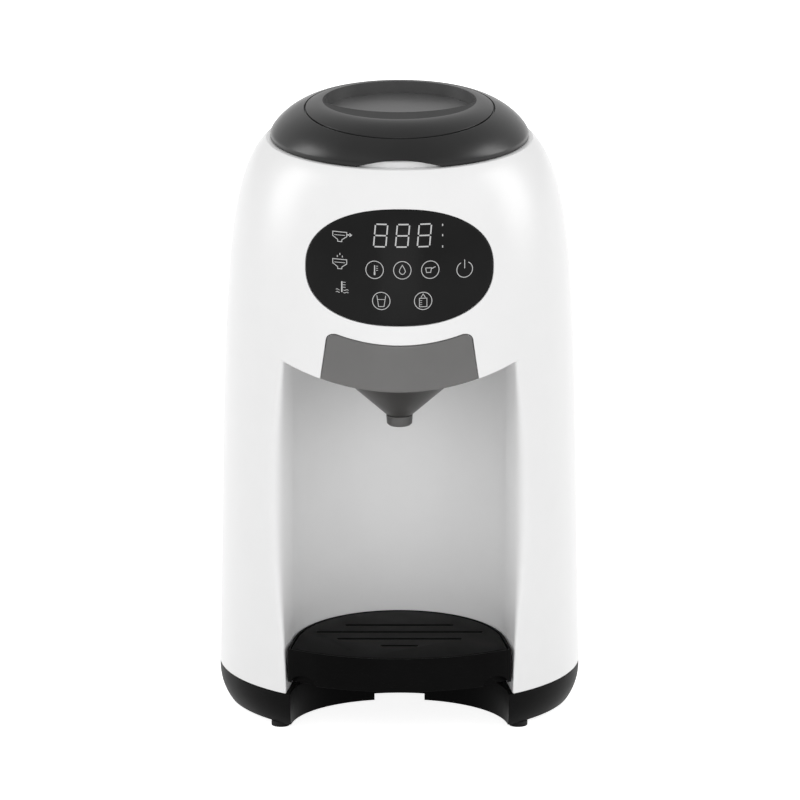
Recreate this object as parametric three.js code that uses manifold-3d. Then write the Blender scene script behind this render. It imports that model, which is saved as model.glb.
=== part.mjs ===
// Baby formula maker: a counter-top machine that heats water, doses powder and pours both
// through a pull-out funnel into the bay in front. Millimetres, +Z up, the front looks along -Y.
// Every piece is built round the upright axis of the body; the whole group is then moved back or
// forth so that the origin lies under the middle of the outer box, at the height of the table.
import * as THREE from 'three';
import { mergeVertices } from 'three/addons/utils/BufferGeometryUtils.js';
import Module from 'manifold-3d';

const wasm = await Module();
wasm.setup();

// Clearances
const gap = 0.3;
const overrun = 4;
const mergeDistance = 1e-3;

// Body: the front half of its plan is a circle, the rear half a deeper superellipse
const bodyRadius = 86.6;
const crownRise = 7.6;
const crownSeamRoom = 2;
const taperShare = 0.043;
const domePower = 6.4;
const domeRoundPower = 0.14;
const rearDepthShare = 1.45;
const rearPower = 2.4;
const shoulderHeight = 78;
const shoulderDrop = 10.2;
const wall = 3;
const housingFoot = 19.5;
const backInset = 18.6;
const bodySegments = 56;
const cavitySegments = 32;
const bodyRings = 13;
const cavityRings = 7;
const ringPower = 2;

// Collar round the canister opening
const collarInset = 27.2;
const collarRise = 3.4;
const collarWidth = 7.4;
const canisterFlange = 4.5;
const canisterFlangeThickness = 2;
const turnSegments = 40;

// Dispensing bay: the back of its plan is half an ellipse, its walls run on to the front
const bayWallInset = 34.4;
const bayCornerInset = 32.1;
const bayCentreInset = 30.6;
const bayWallRun = 11;
const bayRearRoom = 63.5;
const baySwell = 4.5;
const mouthRound = 1.4;
const mouthRoundSwell = 8.7;
const bayWidestDrop = 58.5;
const baySwellReach = 95;
const bayRings = 7;
const bayArcSegments = 16;
const mouthSegments = 4;
const ceilingHeight = 173.5;
const ceilingRise = 13.2;
const ceilingRiseHalfWidth = 64.7;
const ceilingSegments = 16;

// Base and feet
const footHeight = 3;
const footRadius = 4.5;
const baseTuck = 4.5;
const baseTuckPower = 2.5;
const baseRings = 4;
const baseWall = 3;
const deckThickness = 2.8;
const recessWallInset = 34.1;
const recessCentreInset = 16.6;
const notchHalfWidth = 12;
const notchHeight = 3.2;
const frontFootInsetX = 29.6;
const frontFootInsetY = 34.1;
const rearFootInset = 34.6;
const rearFootSetback = 16;
const footBossRadius = 6;
const screwInset = 24.6;
const frontScrewY = 8;
const rearScrewRoom = 12;
const screwBossRadius = 5.2;
const screwHeadRadius = 3.3;
const screwHeadHeight = 2.6;
const screwHeadDepth = 4;
const screwShankRadius = 1.7;
const screwShankLength = 7;
const smallSegments = 12;

// Control panel: an oval whose ends droop a little
const lensHalfWidth = 44.8;
const lensHalfHeight = 27.6;
const lensLift = 4.6;
const lensDroop = 2;
const lensPower = 2.3;
const lensSegments = 36;
const lensThickness = 1.2;
const windowHalfWidth = 16.5;
const windowHalfHeight = 9;
const windowX = 1.5;
const windowRise = 14.3;
const boardThickness = 1.6;
const displayBoardInset = 30.6;
const displayBoardHalfWidth = 38;
const boardBossRadius = 3;
const boardBossInset = 6;

// Funnel with its front plate
const funnelInset = 48.6;
const funnelRadius = 33;
const funnelWall = 1.8;
const funnelConeDrop = 22.5;
const funnelConeHeight = 23.7;
const funnelNeckRadius = 4.4;
const funnelNeckLength = 3;
const funnelRise = 19;
const funnelFlangeThickness = 2.2;
const funnelFlangeWidth = 2.6;
const funnelBoreRadius = 3;
const plateThickness = 2.6;
const plateHalfWidth = 37.8;
const plateShoulderHalfWidth = 35.1;
const plateShoulderRise = 22.4;
const plateCorner = 4.7;
const plateRise = 27;
const plateDip = 4.2;
const plateDepth = 20;
const pocketClearance = 1;
const pocketHeadroom = 9;
const spoutRadius = 6.4;
const spoutTipRadius = 6.1;
const spoutEdge = 0.9;
const spoutOverhang = 2.4;

// Drip tray
const trayFrontInset = 0.6;
const trayFoot = 25.5;
const trayTop = 41.8;
const trayClearance = 0.8;
const trayRim = 1.2;
const trayLedge = 3.4;
const trayFloor = 2.5;
const trayNotchX = 46;
const trayNotchHalfWidth = 5.8;
const trayNotchHeight = 4.3;
const trayNotchDepth = 3;
const grateThickness = 2.8;
const grateClearance = 0.8;
const heelDepth = 20;
const slotWidth = 2.6;
const firstSlotShare = 0.315;
const slotPitchShare = 0.137;
const slotLengthShares = [0.498, 0.766, 0.575, 0.172];
const traySegments = 20;

// Lid: a low dome with a sunk dish and an off-centre groove
const lidOverhang = 2.6;
const lidRim = 2.2;
const lidRise = 18.3;
const lidDomePower = 1.8;
const lidDomeRoundPower = 0.77;
const lidRings = 10;
const lidRingPower = 1.6;
const lidShoulder = 3.3;
const lidDishInset = 25;
const lidDishDepth = 5.9;
const lidDishFrontRadius = 44;
const lidDishFrontShift = 20.6;
const lidWall = 2.4;
const lidSkirt = 2.1;
const lidLipWidth = 0.6;
const lidGrooveInset = 16.5;
const lidGrooveShift = 7;
const lidGroove = 0.9;
const lidSealWidth = 2.2;
const lidNotchHalfWidth = 20.6;
const lidNotchRise = 3.7;
const lidNotchDepth = 12;
const lidSegments = 48;

// Powder canister and dosing parts
const canisterDepth = 65.6;
const canisterLift = 2.5;
const canisterWall = 2.2;
const outletRadius = 8;
const hubRadius = 8;
const hubDrop = 1.6;
const wheelClearance = 0.7;
const wheelThickness = 8;
const wheelGap = 0.4;
const pocketCount = 8;
const pocketShare = 0.458;
const dogSide = 6;
const dogHeight = 4;
const socketClearance = 0.5;
const socketHeadroom = 2.1;
const levellerGap = 0.6;
const levellerThickness = 2;
const levellerInner = 14;
const levellerHalfDegrees = 26;
const stirrerRadius = 5;
const stirrerHeight = 24;
const armInset = 7.1;
const armWidth = 4;
const armRise = 9;
const armSpacing = 9;

// Drive under the canister
const driveDeckThickness = 3;
const driveDeckClearance = 0.5;
const driveDeckRoom = 12;
const gearModule = 1.5;
const gearTeeth = 28;
const pinionTeeth = 12;
const gearThickness = 5;
const gearLift = 1;
const toothTipShare = 0.22;
const toothRootShare = 0.5;
const addendumShare = 0.75;
const dedendumShare = 1.15;
const axleRadius = 3;
const motorShaftRadius = 2;
const motorRadius = 14;
const motorLength = 26;
const shaftClearance = 0.3;

// Powder chute and water nozzle over the funnel
const chuteRadius = 11.5;
const chuteWall = 1.6;
const chuteDrop = 2.5;
const chuteFlangeRadius = 14.8;
const chuteFlangeThickness = 2.2;
const holeClearance = 0.7;
const nozzleX = -22;
const nozzleRadius = 3.2;
const nozzleBore = 1.5;
const nozzleDrop = 3.5;
const nozzleFlangeRadius = 5.5;
const nozzleHeadRadius = 5;
const nozzleHeadHeight = 4.2;

// Water tank
const tankDrop = 64.2;
const tankWall = 2.5;
const tankFloor = 3;
const tankRings = 7;
const tankLidThickness = 2.5;
const hingeSetback = 4.6;
const hingeRise = 3.6;
const knuckleRadius = 2.8;
const pinRadius = 1.2;
const pinClearance = 0.1;
const knuckleX = 27;
const knuckleLength = 8;
const lugLength = 4;
const lidFrontMargin = 1;
const couplingX = 26;
const couplingSetback = 26;
const valveRadius = 6;
const valveBore = 2.5;
const valveFoot = 11;
const valveCapRadius = 10;
const valveCapHeight = 3;
const couplingWall = 2.2;
const couplingFoot = 6;
const couplingFlangeRadius = 13;

// Water path inside the housing
const pumpX = 34;
const pumpRoom = 26;
const pumpRadius = 16;
const pumpHeight = 46;
const pumpFlangeRadius = 19;
const pumpFlangeHeight = 4.5;
const portRadius = 4;
const portLength = 8;
const meterRadius = 9;
const meterHeight = 12;
const boilerX = -28;
const boilerRoom = 28;
const boilerRadius = 20;
const boilerFoot = 60;
const boilerHeight = 90;
const boilerDome = 5;
const bracketHalfWidth = 12;
const bracketFoot = 90;
const bracketHeight = 30;
const sensorRadius = 4;
const sensorHeight = 10;
const sensorOffset = 11;
const hoseRadius = 3.4;
const hotHoseRadius = 2.4;
const hoseBend = 8;
const hotHoseInset = 39.6;
const hotHoseReach = 28;
const hoseSides = 6;
const hoseSteps = 18;

// Boards, switch and inlet
const mainBoardLeft = 2;
const mainBoardInset = 26.6;
const mainBoardFoot = 96;
const mainBoardTop = 184;
const relaySize = 14;
const relayHeight = 11;
const powerBoardInset = 20.6;
const powerBoardWidth = 26;
const powerBoardLength = 46;
const powerBoardRoom = 8;
const transformerSize = 20;
const transformerHeight = 12;
const switchWidth = 16;
const switchDepth = 6;
const switchHeight = 9;
const switchDrop = 1.5;
const inletWidth = 24;
const inletHeight = 12;
const inletDepth = 12;
const inletPinRadius = 1.3;
const inletPinSpacing = 8.6;
const inletWellWidth = 17;
const inletWellHeight = 8;
const inletWellDepth = 8;
const inletFlat = 5.2;

// Heights, from the bay's ceiling up through the funnel, the drive and the canister to the lid
const funnelTop = ceilingHeight + funnelRise;
const pocketTop = funnelTop + pocketHeadroom;
const driveDeckFoot = pocketTop + wall;
const driveDeckTop = driveDeckFoot + driveDeckThickness;
const gearFoot = driveDeckTop + gearLift;
const gearTop = gearFoot + gearThickness;
const canisterFoot = gearTop + canisterLift;
const collarTop = canisterFoot + canisterDepth;
const shelfHeight = collarTop - collarRise;
const crownHeight = shelfHeight + crownRise;
const lidTop = shelfHeight + lidRise;
const lidFoot = shelfHeight + gap;
const flangeFoot = collarTop - canisterFlangeThickness;
const shoulderTop = shelfHeight - shoulderDrop;
const shoulderFoot = shoulderTop - shoulderHeight;
const tankTop = shelfHeight - tankDrop;
const lensHeight = pocketTop + lensLift + lensHalfHeight;
const crownSeam = lensHeight + lensHalfHeight + crownSeamRoom;
const windowHeight = lensHeight + windowRise;
const displayBoardFoot = driveDeckTop + driveDeckClearance;
const displayBoardTop = windowHeight + windowHalfHeight;
const plateShoulderHeight = ceilingHeight + plateShoulderRise;
const plateTopHeight = ceilingHeight + plateRise;
const funnelConeFoot = ceilingHeight - funnelConeDrop;
const funnelConeTop = funnelConeFoot + funnelConeHeight;
const funnelNeckFoot = funnelConeFoot - funnelNeckLength;
const spoutFoot = funnelNeckFoot - spoutOverhang;
const bayWidestHeight = ceilingHeight - bayWidestDrop;
const chuteFoot = pocketTop - chuteDrop;
const nozzleFoot = pocketTop - nozzleDrop;
const switchFoot = funnelTop - switchDrop;
const socketTop = gearTop + dogHeight + socketHeadroom;
const canisterFloor = canisterFoot + canisterWall;
const wheelFoot = canisterFloor + wheelGap;
const wheelTop = wheelFoot + wheelThickness;
const levellerFoot = wheelTop + levellerGap;
const baseTop = housingFoot - gap;
const deckFoot = baseTop - deckThickness;
const trayHeel = housingFoot;
const grateFoot = trayTop - grateThickness;
const boilerTop = boilerFoot + boilerHeight;
const pumpFoot = baseTop + gap;
const meterFoot = pumpFoot + pumpHeight + portLength + gap;
const chuteSeat = driveDeckTop + gap;

// Radii and places in plan that follow from the body
const backPlane = bodyRadius - backInset;
const rearReach = shellRadius(housingFoot) * rearDepthShare;
const collarRadius = bodyRadius - collarInset;
const canisterRadius = collarRadius - collarWidth;
const flangeRadius = canisterRadius + canisterFlange;
const wheelRadius = canisterRadius - canisterWall - wheelClearance;
const plateTopHalfWidth = plateShoulderHalfWidth - plateCorner;
const armReach = wheelRadius - armInset;
const lidRadius = collarRadius + lidOverhang;
const lidShoulderRadius = lidRadius - lidShoulder;
const lidDishRadius = lidRadius - lidDishInset;
const lidGrooveRadius = lidRadius - lidGrooveInset;
const bayHalfWidth = bodyRadius - bayWallInset;
const bayCornerHalfWidth = bodyRadius - bayCornerInset;
const bayCentreY = bayCentreInset - bodyRadius;
const bayRear = backPlane - bayRearRoom;
const bayReach = bayRear - bayCentreY;
const recessRadius = bodyRadius - recessWallInset;
const recessCentreY = recessCentreInset - bodyRadius;
const frontFootX = bodyRadius - frontFootInsetX;
const frontFootY = frontFootInsetY - bodyRadius;
const rearFootX = bodyRadius - rearFootInset;
const rearFootY = backPlane + rearFootSetback;
const screwX = bodyRadius - screwInset;
const rearScrewY = backPlane - rearScrewRoom;
const displayBoardY = displayBoardInset - bodyRadius;
const funnelY = funnelInset - bodyRadius;
const pocketRadius = Math.sqrt((wheelRadius + funnelY) * (-funnelY - hubRadius)) * pocketShare;
const funnelFlangeHalfWidth = funnelRadius + funnelFlangeWidth;
const trayFront = bodyRadius - trayFrontInset;
const trayLength = trayFront + bayRear;
const firstSlotY = bayRear - trayLength * firstSlotShare;
const slotPitch = trayLength * slotPitchShare;
const driveDeckRear = backPlane - driveDeckRoom;
const gearSpacing = (gearModule * (gearTeeth + pinionTeeth)) / 2;
const hingeY = backPlane + hingeSetback;
const couplingY = backPlane + couplingSetback;
const pumpY = backPlane - pumpRoom;
const boilerY = backPlane - boilerRoom;
const mainBoardRight = bodyRadius - mainBoardInset;
const powerBoardLeft = powerBoardInset - bodyRadius;
const powerBoardRight = powerBoardLeft + powerBoardWidth;
const powerBoardRear = backPlane - powerBoardRoom;
const powerBoardFront = powerBoardRear - powerBoardLength;

// A closed geometry becomes a solid that can be joined and cut, with its faces pointing out.
function toSolid(geometry) {
  const bare = geometry.index ? geometry.toNonIndexed() : geometry.clone();
  bare.deleteAttribute('normal');
  bare.deleteAttribute('uv');
  const merged = mergeVertices(bare, mergeDistance);
  const triangles = [];
  for (let i = 0; i < merged.index.count; i += 3) {
    const [a, b, c] = [0, 1, 2].map((k) => merged.index.getX(i + k));
    if (a !== b && b !== c && c !== a) triangles.push([a, b, c]);
  }
  const make = (faces) => new wasm.Manifold(new wasm.Mesh({
    numProp: 3,
    vertProperties: merged.attributes.position.array,
    triVerts: new Uint32Array(faces.flat()),
  }));
  const solid = make(triangles);
  return solid.volume() < 0 ? make(triangles.map((face) => face.reverse())) : solid;
}

function toGeometry(solid) {
  const mesh = solid.getMesh();
  const geometry = new THREE.BufferGeometry();
  geometry.setAttribute('position', new THREE.Float32BufferAttribute(mesh.vertProperties, mesh.numProp));
  geometry.setIndex([...mesh.triVerts]);
  geometry.computeVertexNormals();
  return geometry;
}

function cut(geometry, ...tools) {
  return toGeometry(tools.reduce((solid, tool) => solid.subtract(toSolid(tool)), toSolid(geometry)));
}

function join(geometry, ...others) {
  return toGeometry(others.reduce((solid, other) => solid.add(toSolid(other)), toSolid(geometry)));
}

function common(geometry, ...others) {
  return toGeometry(others.reduce((solid, other) => solid.intersect(toSolid(other)), toSolid(geometry)));
}

// Basic shapes, placed by their lower face
function box(x0, x1, y0, y1, z0, z1) {
  return new THREE.BoxGeometry(x1 - x0, y1 - y0, z1 - z0)
    .translate((x0 + x1) / 2, (y0 + y1) / 2, (z0 + z1) / 2);
}

function rod(radius, foot, top, x = 0, y = 0, segments = smallSegments) {
  return new THREE.CylinderGeometry(radius, radius, top - foot, segments)
    .rotateX(Math.PI / 2)
    .translate(x, y, (foot + top) / 2);
}

function rodAlongX(radius, x0, x1, y, z, segments = smallSegments) {
  return new THREE.CylinderGeometry(radius, radius, x1 - x0, segments)
    .rotateZ(Math.PI / 2)
    .translate((x0 + x1) / 2, y, z);
}

function rodAlongY(radius, y0, y1, x, z, segments = smallSegments) {
  return new THREE.CylinderGeometry(radius, radius, y1 - y0, segments).translate(x, (y0 + y1) / 2, z);
}

// A closed profile of [radius, height] pairs turned about an upright axis at x, y.
function turned(profile, x = 0, y = 0, segments = turnSegments) {
  const points = [...profile, profile[0]].map(([radius, height]) => new THREE.Vector2(radius, height));
  return new THREE.LatheGeometry(points, segments).rotateX(Math.PI / 2).translate(x, y, 0);
}

function extruded(points, foot, top) {
  const shape = new THREE.Shape(points);
  return new THREE.ExtrudeGeometry(shape, { depth: top - foot, bevelEnabled: false }).translate(0, 0, foot);
}

// A shape drawn in X and Z, carried along Y.
function extrudedAlongY(shape, y0, y1, curveSegments = ceilingSegments) {
  return new THREE.ExtrudeGeometry(shape, { depth: y1 - y0, bevelEnabled: false, curveSegments })
    .rotateX(Math.PI / 2)
    .translate(0, y1, 0);
}

// Rings of points with equal counts, lowest first, joined to one closed skin.
function loft(rings) {
  const count = rings[0].length;
  const index = [];
  for (let ring = 0; ring + 1 < rings.length; ring++) {
    for (let i = 0; i < count; i++) {
      const a = ring * count + i;
      const b = ring * count + ((i + 1) % count);
      index.push(a, b, b + count, a, b + count, a + count);
    }
  }
  const last = (rings.length - 1) * count;
  const cap = (ring) => THREE.ShapeUtils.triangulateShape(ring.map((p) => new THREE.Vector2(p.x, p.y)), []);
  cap(rings[0]).forEach(([a, b, c]) => index.push(c, b, a));
  cap(rings[rings.length - 1]).forEach(([a, b, c]) => index.push(last + a, last + b, last + c));
  const geometry = new THREE.BufferGeometry();
  geometry.setAttribute('position', new THREE.Float32BufferAttribute(rings.flat().flatMap((p) => [...p]), 3));
  geometry.setIndex(index);
  return geometry;
}

function hose(points, radius) {
  const path = new THREE.CatmullRomCurve3(points.map((p) => new THREE.Vector3(...p)), false, 'centripetal');
  const section = new THREE.Shape();
  section.absarc(0, 0, radius, 0, 2 * Math.PI);
  return new THREE.ExtrudeGeometry(section, {
    steps: hoseSteps,
    curveSegments: hoseSides / 2,
    extrudePath: path,
  });
}

// Outline of the body
function shellRadius(z) {
  const share = z / crownHeight;
  return bodyRadius * (1 - taperShare * share) * (1 - share ** domePower) ** domeRoundPower;
}

function planRing(radius, depth, power, z, segments) {
  return Array.from({ length: segments }, (_, i) => {
    const angle = (2 * Math.PI * i) / segments;
    const x = Math.cos(angle);
    const y = Math.sin(angle);
    if (y <= 0) return new THREE.Vector3(radius * x, radius * y, z);
    return new THREE.Vector3(
      radius * Math.sign(x) * Math.abs(x) ** (2 / power),
      depth * y ** (2 / power),
      z,
    );
  });
}

function rearBlend(z) {
  const share = THREE.MathUtils.clamp((z - shoulderFoot) / (shoulderTop - shoulderFoot), 0, 1);
  return (1 + Math.cos(Math.PI * share)) / 2;
}

function bodyRing(z, inset, segments) {
  const blend = rearBlend(z);
  const radius = shellRadius(z);
  const depth = radius * (1 + (rearDepthShare - 1) * blend);
  return planRing(radius - inset, depth - inset, 2 + (rearPower - 2) * blend, z, segments);
}

function bodySolid(inset, foot, top, segments = bodySegments, rings = bodyRings) {
  return loft(Array.from({ length: rings + 1 }, (_, i) => {
    const share = 1 - (1 - i / rings) ** ringPower;
    return bodyRing(foot + (top - foot) * share, inset, segments);
  }));
}

// The left or the right half of the room round the body
function sideRoom(side, foot, top) {
  const inner = (side * gap) / 2;
  const outer = side * (bodyRadius + overrun);
  return box(
    Math.min(inner, outer), Math.max(inner, outer),
    -bodyRadius - overrun, rearReach + overrun,
    foot, top,
  );
}

// Everything behind an upright plane
function behind(y) {
  const reach = rearReach + overrun;
  return box(-reach, reach, y, reach, -overrun, crownHeight);
}

// Back of the bay's plan; grow moves it out by that much.
function bayArc(grow, segments) {
  const start = Math.asin(bayWallRun / bayReach);
  return Array.from({ length: segments + 1 }, (_, i) => {
    const angle = start + ((Math.PI - 2 * start) * i) / segments;
    return new THREE.Vector2(
      (bayHalfWidth + grow) * Math.cos(angle),
      bayCentreY + (bayReach + grow) * Math.sin(angle),
    );
  });
}

// Plan of the bay at one height, with a rounded mouth that leaves the body's surface smoothly.
function bayRing(z, grow) {
  const swell = Math.max(0, 1 - ((z - bayWidestHeight) / baySwellReach) ** 2) ** 2;
  const arc = bayArc(grow, bayArcSegments);
  const front = shellRadius(z) - grow;
  const cornerX = bayCornerHalfWidth + grow + baySwell * swell;
  const corner = new THREE.Vector2(cornerX, -Math.sqrt(front ** 2 - cornerX ** 2));
  const length = mouthRound + mouthRoundSwell * swell;
  const along = arc[0].clone().sub(corner).normalize();
  const inward = corner.clone().addScaledVector(along, length);
  const turn = Math.atan2(corner.y, corner.x) + length / front;
  const outward = new THREE.Vector2(front * Math.cos(turn), front * Math.sin(turn));
  const tangent = new THREE.Vector2(-Math.sin(turn), Math.cos(turn));
  const run = outward.clone().sub(corner).cross(tangent) / along.cross(tangent);
  const meeting = corner.clone().addScaledVector(along, run);
  const round = new THREE.QuadraticBezierCurve(outward, meeting, inward).getPoints(mouthSegments);
  const right = [new THREE.Vector2(outward.x, -bodyRadius - overrun), ...round];
  const left = right.map((p) => new THREE.Vector2(-p.x, p.y)).reverse();
  return [...right, ...arc, ...left].map((p) => new THREE.Vector3(p.x, p.y, z));
}

function ceilingAt(x) {
  return ceilingHeight + ceilingRise * (x / ceilingRiseHalfWidth) ** 2;
}

// The bay as a solid: its plan carried up to the sagging ceiling.
function baySolid(grow) {
  const foot = housingFoot - overrun;
  const top = ceilingAt(bodyRadius) + overrun;
  const walls = loft(Array.from({ length: bayRings + 1 }, (_, i) => (
    bayRing(foot + ((top - foot) * i) / bayRings, grow)
  )));
  const reach = bodyRadius + overrun;
  const edge = ceilingAt(reach) + grow;
  const underCeiling = new THREE.Shape();
  underCeiling.moveTo(-reach, foot - overrun);
  underCeiling.lineTo(reach, foot - overrun);
  underCeiling.lineTo(reach, edge);
  underCeiling.quadraticCurveTo(0, 2 * (ceilingHeight + grow) - edge, -reach, edge);
  return common(walls, extrudedAlongY(underCeiling, -reach - overrun, reach));
}

// Outline of the funnel's front plate, grown by a margin on the top and sides.
function plateShape(margin) {
  const foot = ceilingAt(plateHalfWidth);
  const shape = new THREE.Shape();
  shape.moveTo(-plateHalfWidth - margin, foot - margin);
  shape.quadraticCurveTo(0, 2 * ceilingHeight - foot - margin, plateHalfWidth + margin, foot - margin);
  shape.lineTo(plateShoulderHalfWidth + margin, plateShoulderHeight + margin);
  shape.quadraticCurveTo(
    plateShoulderHalfWidth + margin, plateTopHeight + margin,
    plateTopHalfWidth, plateTopHeight + margin,
  );
  shape.quadraticCurveTo(
    0, plateTopHeight - 2 * plateDip + margin,
    -plateTopHalfWidth, plateTopHeight + margin,
  );
  shape.quadraticCurveTo(
    -plateShoulderHalfWidth - margin, plateTopHeight + margin,
    -plateShoulderHalfWidth - margin, plateShoulderHeight + margin,
  );
  shape.closePath();
  return shape;
}

// A U in plan round the funnel's axis, open to the front.
function pocketPlan(halfWidth) {
  const arc = Array.from({ length: bayArcSegments + 1 }, (_, i) => {
    const angle = (Math.PI * i) / bayArcSegments;
    return new THREE.Vector2(halfWidth * Math.cos(angle), funnelY + halfWidth * Math.sin(angle));
  });
  const front = -bodyRadius - overrun;
  return [new THREE.Vector2(halfWidth, front), ...arc, new THREE.Vector2(-halfWidth, front)];
}

// Space that the funnel slides in, grown by a wall where the wall itself is wanted.
function pocketSolid(grow) {
  const ledge = funnelTop - funnelFlangeThickness - gap;
  const lower = extruded(pocketPlan(funnelRadius + pocketClearance + grow), ceilingHeight - overrun, ledge);
  const upper = pocketPlan(funnelFlangeHalfWidth + gap + grow);
  const track = extruded(upper, ledge - grow, funnelTop + gap);
  const headroom = common(
    extruded(upper, funnelTop, pocketTop + grow),
    bodySolid(wall - grow, housingFoot, shelfHeight),
  );
  const front = -bodyRadius - overrun;
  const plate = extrudedAlongY(plateShape(gap + grow), front, front + overrun + plateDepth + grow);
  return join(lower, track, headroom, plate);
}

function lensShape(margin) {
  return new THREE.Shape(Array.from({ length: lensSegments }, (_, i) => {
    const angle = (2 * Math.PI * i) / lensSegments;
    const x = Math.sign(Math.cos(angle)) * Math.abs(Math.cos(angle)) ** (2 / lensPower);
    const z = Math.sign(Math.sin(angle)) * Math.abs(Math.sin(angle)) ** (2 / lensPower);
    return new THREE.Vector2(
      (lensHalfWidth + margin) * x,
      lensHeight + (lensHalfHeight + margin) * z - lensDroop * x ** 2,
    );
  }));
}

function frontPrism(shape) {
  return extrudedAlongY(shape, -bodyRadius - overrun, bayCentreY);
}

// Solids that several pieces share: the whole body and the space inside its skin
const bodySkin = bodySolid(0, housingFoot, shelfHeight);

function cavitySolid(inset) {
  return bodySolid(inset, housingFoot - overrun, shelfHeight - wall, cavitySegments, cavityRings);
}

const innerSpace = common(
  cavitySolid(wall + gap),
  box(-bodyRadius, bodyRadius, -bodyRadius, rearReach, housingFoot, shelfHeight - wall - gap),
);

// Bosses that carry the display board behind the panel, on one side
function boardBosses(side) {
  const x = side * (displayBoardHalfWidth - boardBossInset);
  return [displayBoardFoot + boardBossInset, displayBoardTop - boardBossInset].map((z) => {
    const front = -Math.sqrt((shellRadius(z) - wall / 2 - boardBossRadius / 2) ** 2 - x ** 2);
    return rodAlongY(boardBossRadius, front, displayBoardY - boardThickness - gap, x, z);
  });
}

// Outer skin of the housing with the bay's mouth, the lens recess and the window behind it
function housingSkin() {
  const lensRecess = cut(
    frontPrism(lensShape(gap)),
    bodySolid(lensThickness + gap, housingFoot, shelfHeight),
  );
  const displayWindow = box(
    windowX - windowHalfWidth, windowX + windowHalfWidth,
    -bodyRadius, bayCentreY,
    windowHeight - windowHalfHeight, windowHeight + windowHalfHeight,
  );
  return cut(
    bodySkin,
    behind(backPlane),
    baySolid(0),
    pocketSolid(0),
    cavitySolid(wall),
    rod(canisterRadius + gap, shelfHeight - wall - overrun, shelfHeight + overrun, 0, 0, turnSegments),
    lensRecess,
    displayWindow,
  );
}

// One half of the skin below the crown, with its two bosses
function housingHalf(side) {
  const half = common(housingSkin(), sideRoom(side, housingFoot - overrun, crownSeam));
  return join(half, ...boardBosses(side));
}

// Top of the skin, round the canister
function housingTop() {
  const reach = bodyRadius + overrun;
  return common(housingSkin(), box(-reach, reach, -reach, reach, crownSeam + gap, shelfHeight + overrun));
}

// Ring on the crown that the canister's rim rests in
function canisterCollar() {
  return turned([
    [canisterRadius + gap, shelfHeight + gap],
    [collarRadius, shelfHeight + gap],
    [collarRadius, collarTop],
    [flangeRadius + gap, collarTop],
    [flangeRadius + gap, flangeFoot - gap],
    [canisterRadius + gap, flangeFoot - gap],
  ]);
}

// Walls and ceiling of the bay, behind its mouth in the skin
function bayLiner() {
  return cut(common(baySolid(wall), innerSpace), baySolid(0), pocketSolid(wall + gap));
}

// Walls round the funnel, with the holes that the chute and the nozzle reach through
function funnelPocket() {
  const top = pocketTop + wall + overrun;
  return cut(
    common(pocketSolid(wall), innerSpace),
    pocketSolid(0),
    baySolid(0),
    rod(chuteRadius + holeClearance, pocketTop - overrun, top, 0, funnelY),
    rod(nozzleRadius + holeClearance, pocketTop - overrun, top, nozzleX, funnelY),
  );
}

// Flat panel that closes the housing towards the tank
function rearPanel() {
  return common(
    innerSpace,
    box(-bodyRadius, bodyRadius, backPlane - wall, backPlane, housingFoot - overrun, crownHeight),
  );
}

function controlLens() {
  return cut(common(bodySkin, frontPrism(lensShape(0))), bodySolid(lensThickness, housingFoot, shelfHeight));
}

function digitDisplay() {
  const sill = windowHeight + windowHalfHeight;
  const reach = windowX + windowHalfWidth;
  const front = gap - Math.sqrt((shellRadius(sill) - wall) ** 2 - reach ** 2);
  const block = windowHalfWidth - gap;
  return box(
    windowX - block, windowX + block,
    front, displayBoardY - boardThickness - gap,
    windowHeight - windowHalfHeight + gap, sill - gap,
  );
}

function displayBoard() {
  return box(
    -displayBoardHalfWidth, displayBoardHalfWidth,
    displayBoardY - boardThickness, displayBoardY,
    displayBoardFoot, displayBoardTop,
  );
}

// Base: a black skirt round a deck that stands on its own posts
function baseRing(z, inset, segments) {
  const share = (z - footHeight) / (baseTop - footHeight);
  const radius = shellRadius(housingFoot) - baseTuck * (1 - share) ** baseTuckPower;
  const depth = radius * rearDepthShare;
  return planRing(radius - inset, depth - inset, rearPower, z, segments);
}

function baseSolid(inset, foot, top, segments = bodySegments, rings = baseRings) {
  return loft(Array.from({ length: rings + 1 }, (_, i) => (
    baseRing(foot + ((top - foot) * i) / rings, inset, segments)
  )));
}

const feet = [
  ['foot_front_left', -frontFootX, frontFootY],
  ['foot_front_right', frontFootX, frontFootY],
  ['foot_rear_left', -rearFootX, rearFootY],
  ['foot_rear_right', rearFootX, rearFootY],
];

const baseScrews = [
  ['base_screw_front_left', -screwX, frontScrewY],
  ['base_screw_front_right', screwX, frontScrewY],
  ['base_screw_rear_left', -screwX, rearScrewY],
  ['base_screw_rear_right', screwX, rearScrewY],
];

function inletBox(margin) {
  const rear = rearReach - inletFlat;
  const middle = (footHeight + baseTop) / 2;
  return box(
    -inletWidth / 2 - margin, inletWidth / 2 + margin,
    rear - inletDepth - margin, rear,
    middle - inletHeight / 2 - margin, middle + inletHeight / 2 + margin,
  );
}

function recessSolid(grow) {
  return rod(recessRadius + grow, -overrun, baseTop + overrun, 0, recessCentreY, turnSegments);
}

function baseSkirt() {
  const hollow = cut(
    baseSolid(baseWall, footHeight, baseTop, cavitySegments),
    recessSolid(baseWall),
    inletBox(baseWall),
  );
  const mouthY = recessCentreY + recessRadius;
  const inletMouth = inletBox(gap).translate(0, inletFlat + overrun, 0);
  return cut(
    baseSolid(0, footHeight, baseTop),
    recessSolid(0),
    hollow,
    box(-notchHalfWidth, notchHalfWidth, mouthY - overrun, mouthY + baseWall + overrun,
      footHeight - overrun, footHeight + notchHeight),
    inletBox(gap),
    inletMouth,
  );
}

function baseHalf(side) {
  return common(baseSkirt(), sideRoom(side, footHeight - overrun, baseTop + overrun));
}

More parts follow.
